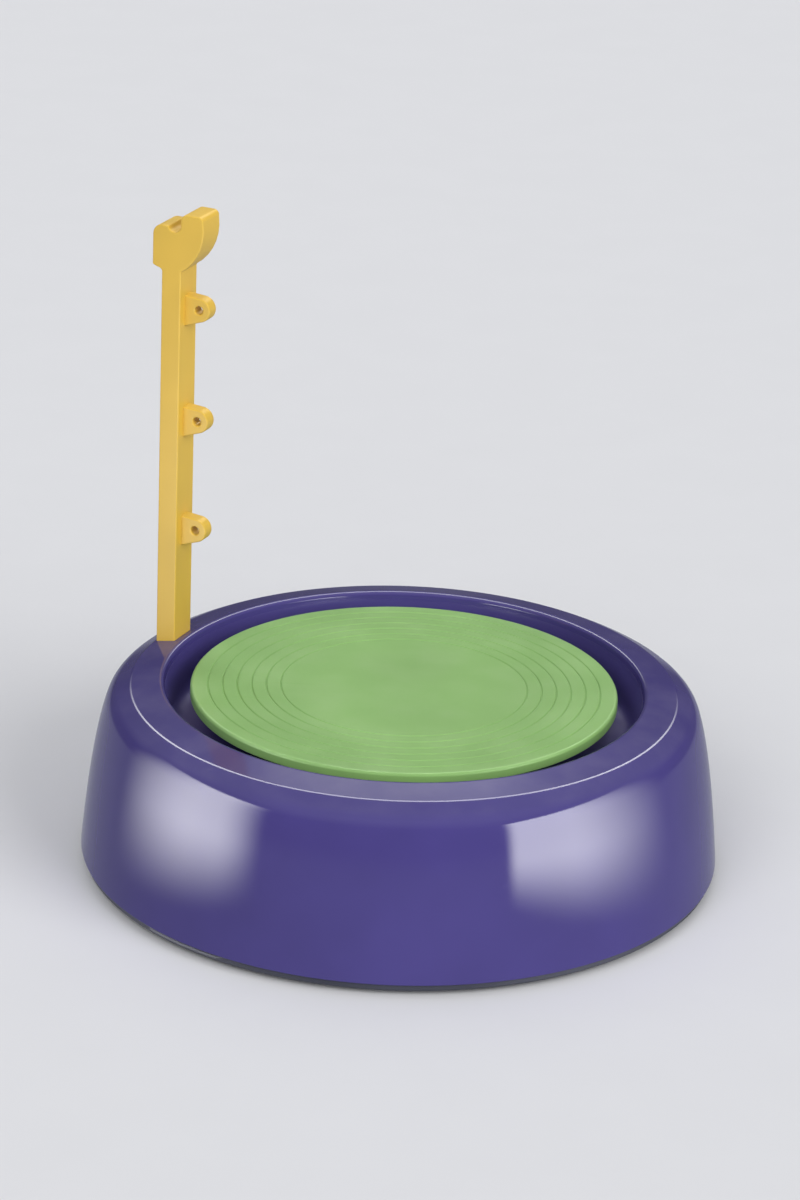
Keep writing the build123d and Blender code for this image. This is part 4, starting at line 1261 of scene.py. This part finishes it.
# Cards that glossy surfaces mirror, with the shares that fade at each side, the foot and the top
CARDS = (
    Softbox("ring_sheen", (0, 1.15, 1.3), (0, 0, 0.06), 0.9, 0.6, 1.6, (0.4, 0.4, 0.5, 0.5)),
    Softbox("left_panel", (-0.15, -0.1, 0.06), (0, -0.1, 0.06), 0.18, 0.14, 9.5, (0.5, 0.4, 0.34, 0.1)),
    Softbox("right_panel", (0.15, -0.135, 0.06), (0, -0.135, 0.06), 0.22, 0.14, 9.5, (0.15, 0.5, 0.34, 0.1)),
)

# Heights of a ray's heading over which the world changes its tone
SKY_SPAN = (0.3, 0.8)
GROUND_SPAN = (0.0, -0.1)
FLOOR_RIM = 0.02            # turned-down edge, as a share of the floor's radius
FLOOR_TONE = 0.01
FLOOR_ROUGHNESS = 0.7
CAMERA_FAR = 100


def aimed(name, light, place, aim):
    """A light at a place, turned towards what it lights and unseen by the camera."""
    made = bpy.data.objects.new(name, light)
    bpy.context.scene.collection.objects.link(made)
    made.location = place
    made.rotation_euler = (Vector(aim) - made.location).to_track_quat("-Z", "Y").to_euler()
    made.visible_camera = False
    return made


def add_lamp(lamp):
    light = bpy.data.lights.new(lamp.name, "SUN")
    light.energy = lamp.light
    light.angle = lamp.spread
    aimed(lamp.name, light, lamp.place, ORIGIN).visible_glossy = False


def fade_out(lamp, fades):
    """Light that fades towards the edges of its card."""
    start, end, foot, top = fades
    lamp.use_nodes = True
    tree = lamp.node_tree
    place = add(tree, "ShaderNodeNewGeometry").outputs["Parametric"]
    card = add(tree, "ShaderNodeSeparateXYZ", {0: place}).outputs
    share = 1.0
    for value, edge, full in (
        (card["X"], 0.0, start), (card["X"], 1.0, 1.0 - end),
        (card["Y"], 0.0, foot), (card["Y"], 1.0, 1.0 - top),
    ):
        share = calc(tree, "MULTIPLY", share, ranged(tree, value, edge, full, smooth=True))
    plug(tree, tree.nodes["Emission"].inputs["Strength"], share)


def add_softbox(box):
    lamp = bpy.data.lights.new(box.name, "AREA")
    lamp.shape = "RECTANGLE"
    lamp.size = box.width
    lamp.size_y = box.height
    lamp.energy = math.pi * box.width * box.height * box.radiance
    fade_out(lamp, box.fades)
    aimed(box.name, lamp, box.place, box.aim).visible_diffuse = False


def camera_place(stage):
    rise = stage.camera_elevation
    back = Vector((0, -math.cos(rise), math.sin(rise))) * stage.camera_distance
    return UP * stage.camera_pivot + back


def mirrored(stage, shell, turn, tilt):
    """Place that the ring's crest mirrors to the camera, at a turn from the front and a tilt."""
    outward = Vector((math.sin(turn), -math.cos(turn), 0))
    crest = outward * shell.crest_radius + UP * (shell.lip_level - shell.ring_fall)
    normal = outward * math.sin(tilt) + UP * math.cos(tilt)
    view = (camera_place(stage) - crest).normalized()
    return crest - view.reflect(normal) * stage.arch_distance


def add_arch(stage, shell):
    """Curved strip light that the edges of the ring mirror as a fine line."""
    turns = [stage.arch_reach * (2 * n / BOW_STEPS - 1) for n in range(BOW_STEPS + 1)]
    edges = []
    for side in (-1, 1):
        tilt = stage.arch_tilt + side * stage.arch_spread
        edges.append(traced("arch", [mirrored(stage, shell, turn, tilt) for turn in turns]))
    arch = joined("arch", edges)
    open_mesh(arch)
    bpy.ops.mesh.bridge_edge_loops()
    bpy.ops.object.mode_set(mode="OBJECT")
    material, tree, shader = new_material("arch_light")
    shader.inputs["Base Color"].default_value = (0, 0, 0, 1)
    shader.inputs["Specular IOR Level"].default_value = 0.0
    shader.inputs["Emission Color"].default_value = (1, 1, 1, 1)
    height = add(tree, "ShaderNodeSeparateXYZ", {0: here(tree)}).outputs["Z"]
    share = ranged(tree, height, stage.arch_low, stage.arch_high, smooth=True)
    plug(tree, shader.inputs["Emission Strength"], calc(tree, "MULTIPLY", share, stage.arch_light))
    material.cycles.emission_sampling = "NONE"
    arch.data.materials.append(material)
    arch.visible_camera = arch.visible_diffuse = arch.visible_shadow = False


def add_world(scene, stage):
    """Soft even light, stronger from above, with a mid tone from below for gloss."""
    world = bpy.data.worlds.new("studio")
    world.use_nodes = True
    scene.world = world
    tree = world.node_tree
    way = add(tree, "ShaderNodeTexCoord").outputs["Generated"]
    height = add(tree, "ShaderNodeSeparateXYZ", {0: way}).outputs["Z"]
    above = ranged(tree, height, *SKY_SPAN)
    below = ranged(tree, height, *GROUND_SPAN)
    light = blended(tree, above, stage.horizon_colour, stage.sky_colour)
    light = blended(tree, below, light, stage.ground_colour)
    plug(tree, tree.nodes["Background"].inputs["Color"], light)
    tree.nodes["Background"].inputs["Strength"].default_value = 1.0


def add_floor(stage):
    """Pale floor. Gloss doesn't see it, and mirrors the world's ground colour instead."""
    rim = FLOOR_RIM * stage.floor_radius
    profile = [at(0, 0), at(stage.floor_radius, 0), at(stage.floor_radius + rim, -rim)]
    floor = turned("floor", profile, SMALL_STEPS)
    material, tree, shader = new_material("pale_floor")
    grain = effect(tree, "Moulded Grain")
    levels = list(stage.floor_colour)
    tone = blended(tree, grain["Tone"], shaded(levels, -FLOOR_TONE), levels)
    plug(tree, shader.inputs["Base Color"], tone)
    shader.inputs["Roughness"].default_value = FLOOR_ROUGHNESS
    shader.inputs["Specular IOR Level"].default_value = 0.0
    floor.data.materials.append(material)
    floor.visible_glossy = False


def add_camera(scene, stage):
    data = bpy.data.cameras.new("camera")
    camera = bpy.data.objects.new("camera", data)
    scene.collection.objects.link(camera)
    camera.location = camera_place(stage)
    look = Vector((stage.camera_side, 0, stage.camera_aim)) - camera.location
    roll = Quaternion((0, 0, 1), stage.camera_roll)
    camera.rotation_euler = (look.to_track_quat("-Z", "Y") @ roll).to_euler()
    data.lens = data.sensor_width * stage.camera_distance / stage.frame_height
    data.clip_end = CAMERA_FAR
    scene.camera = camera


class POTTERYWHEEL_OT_stage(bpy.types.Operator):
    """Set the floor, the light and the camera"""
    bl_idname = "pottery_wheel.stage"
    bl_label = "Stage"
    bl_options = {"REGISTER", "UNDO"}

    def execute(self, context):
        scene = context.scene
        stage = scene.pottery_wheel.stage
        scene.view_settings.view_transform = "Standard"
        add_world(scene, stage)
        add_floor(stage)
        for lamp in LAMPS:
            add_lamp(lamp)
        for box in CARDS:
            add_softbox(box)
        add_arch(stage, scene.pottery_wheel.shell)
        add_camera(scene, stage)
        return {"FINISHED"}


OPERATORS = (
    POTTERYWHEEL_OT_inner_finish,
    POTTERYWHEEL_OT_shell,
    POTTERYWHEEL_OT_wheel_head,
    POTTERYWHEEL_OT_hub,
    POTTERYWHEEL_OT_guide_post,
    POTTERYWHEEL_OT_base,
    POTTERYWHEEL_OT_feet,
    POTTERYWHEEL_OT_screws,
    POTTERYWHEEL_OT_knob,
    POTTERYWHEEL_OT_cells,
    POTTERYWHEEL_OT_stage,
)


class POTTERYWHEEL_PT_panel(bpy.types.Panel):
    """Sizes, finishes and steps of the pottery wheel"""
    bl_idname = "POTTERYWHEEL_PT_panel"
    bl_label = "Pottery Wheel"
    bl_space_type = "VIEW_3D"
    bl_region_type = "UI"
    bl_category = "Pottery Wheel"

    def draw(self, context):
        settings = context.scene.pottery_wheel
        for part in ("shell", "wheel", "post", "small", "colours", "stage"):
            box = self.layout.box()
            box.label(text=settings.bl_rna.properties[part].name)
            values = getattr(settings, part)
            for name in values.__annotations__:
                box.prop(values, name)
        for operator in OPERATORS:
            self.layout.operator(operator.bl_idname)


CLASSES = (
    ShellSizes, WheelSizes, PostSizes, SmallSizes, FinishColours, StageSettings, WheelSettings,
    *OPERATORS, POTTERYWHEEL_PT_panel,
)


def register():
    for cls in CLASSES:
        bpy.utils.register_class(cls)
    bpy.types.Scene.pottery_wheel = bpy.props.PointerProperty(type=WheelSettings)


def unregister():
    del bpy.types.Scene.pottery_wheel
    for cls in reversed(CLASSES):
        bpy.utils.unregister_class(cls)


def main():
    register()
    for operator in OPERATORS:
        area, name = operator.bl_idname.split(".")
        getattr(getattr(bpy.ops, area), name)()


if __name__ == "__main__":
    main()
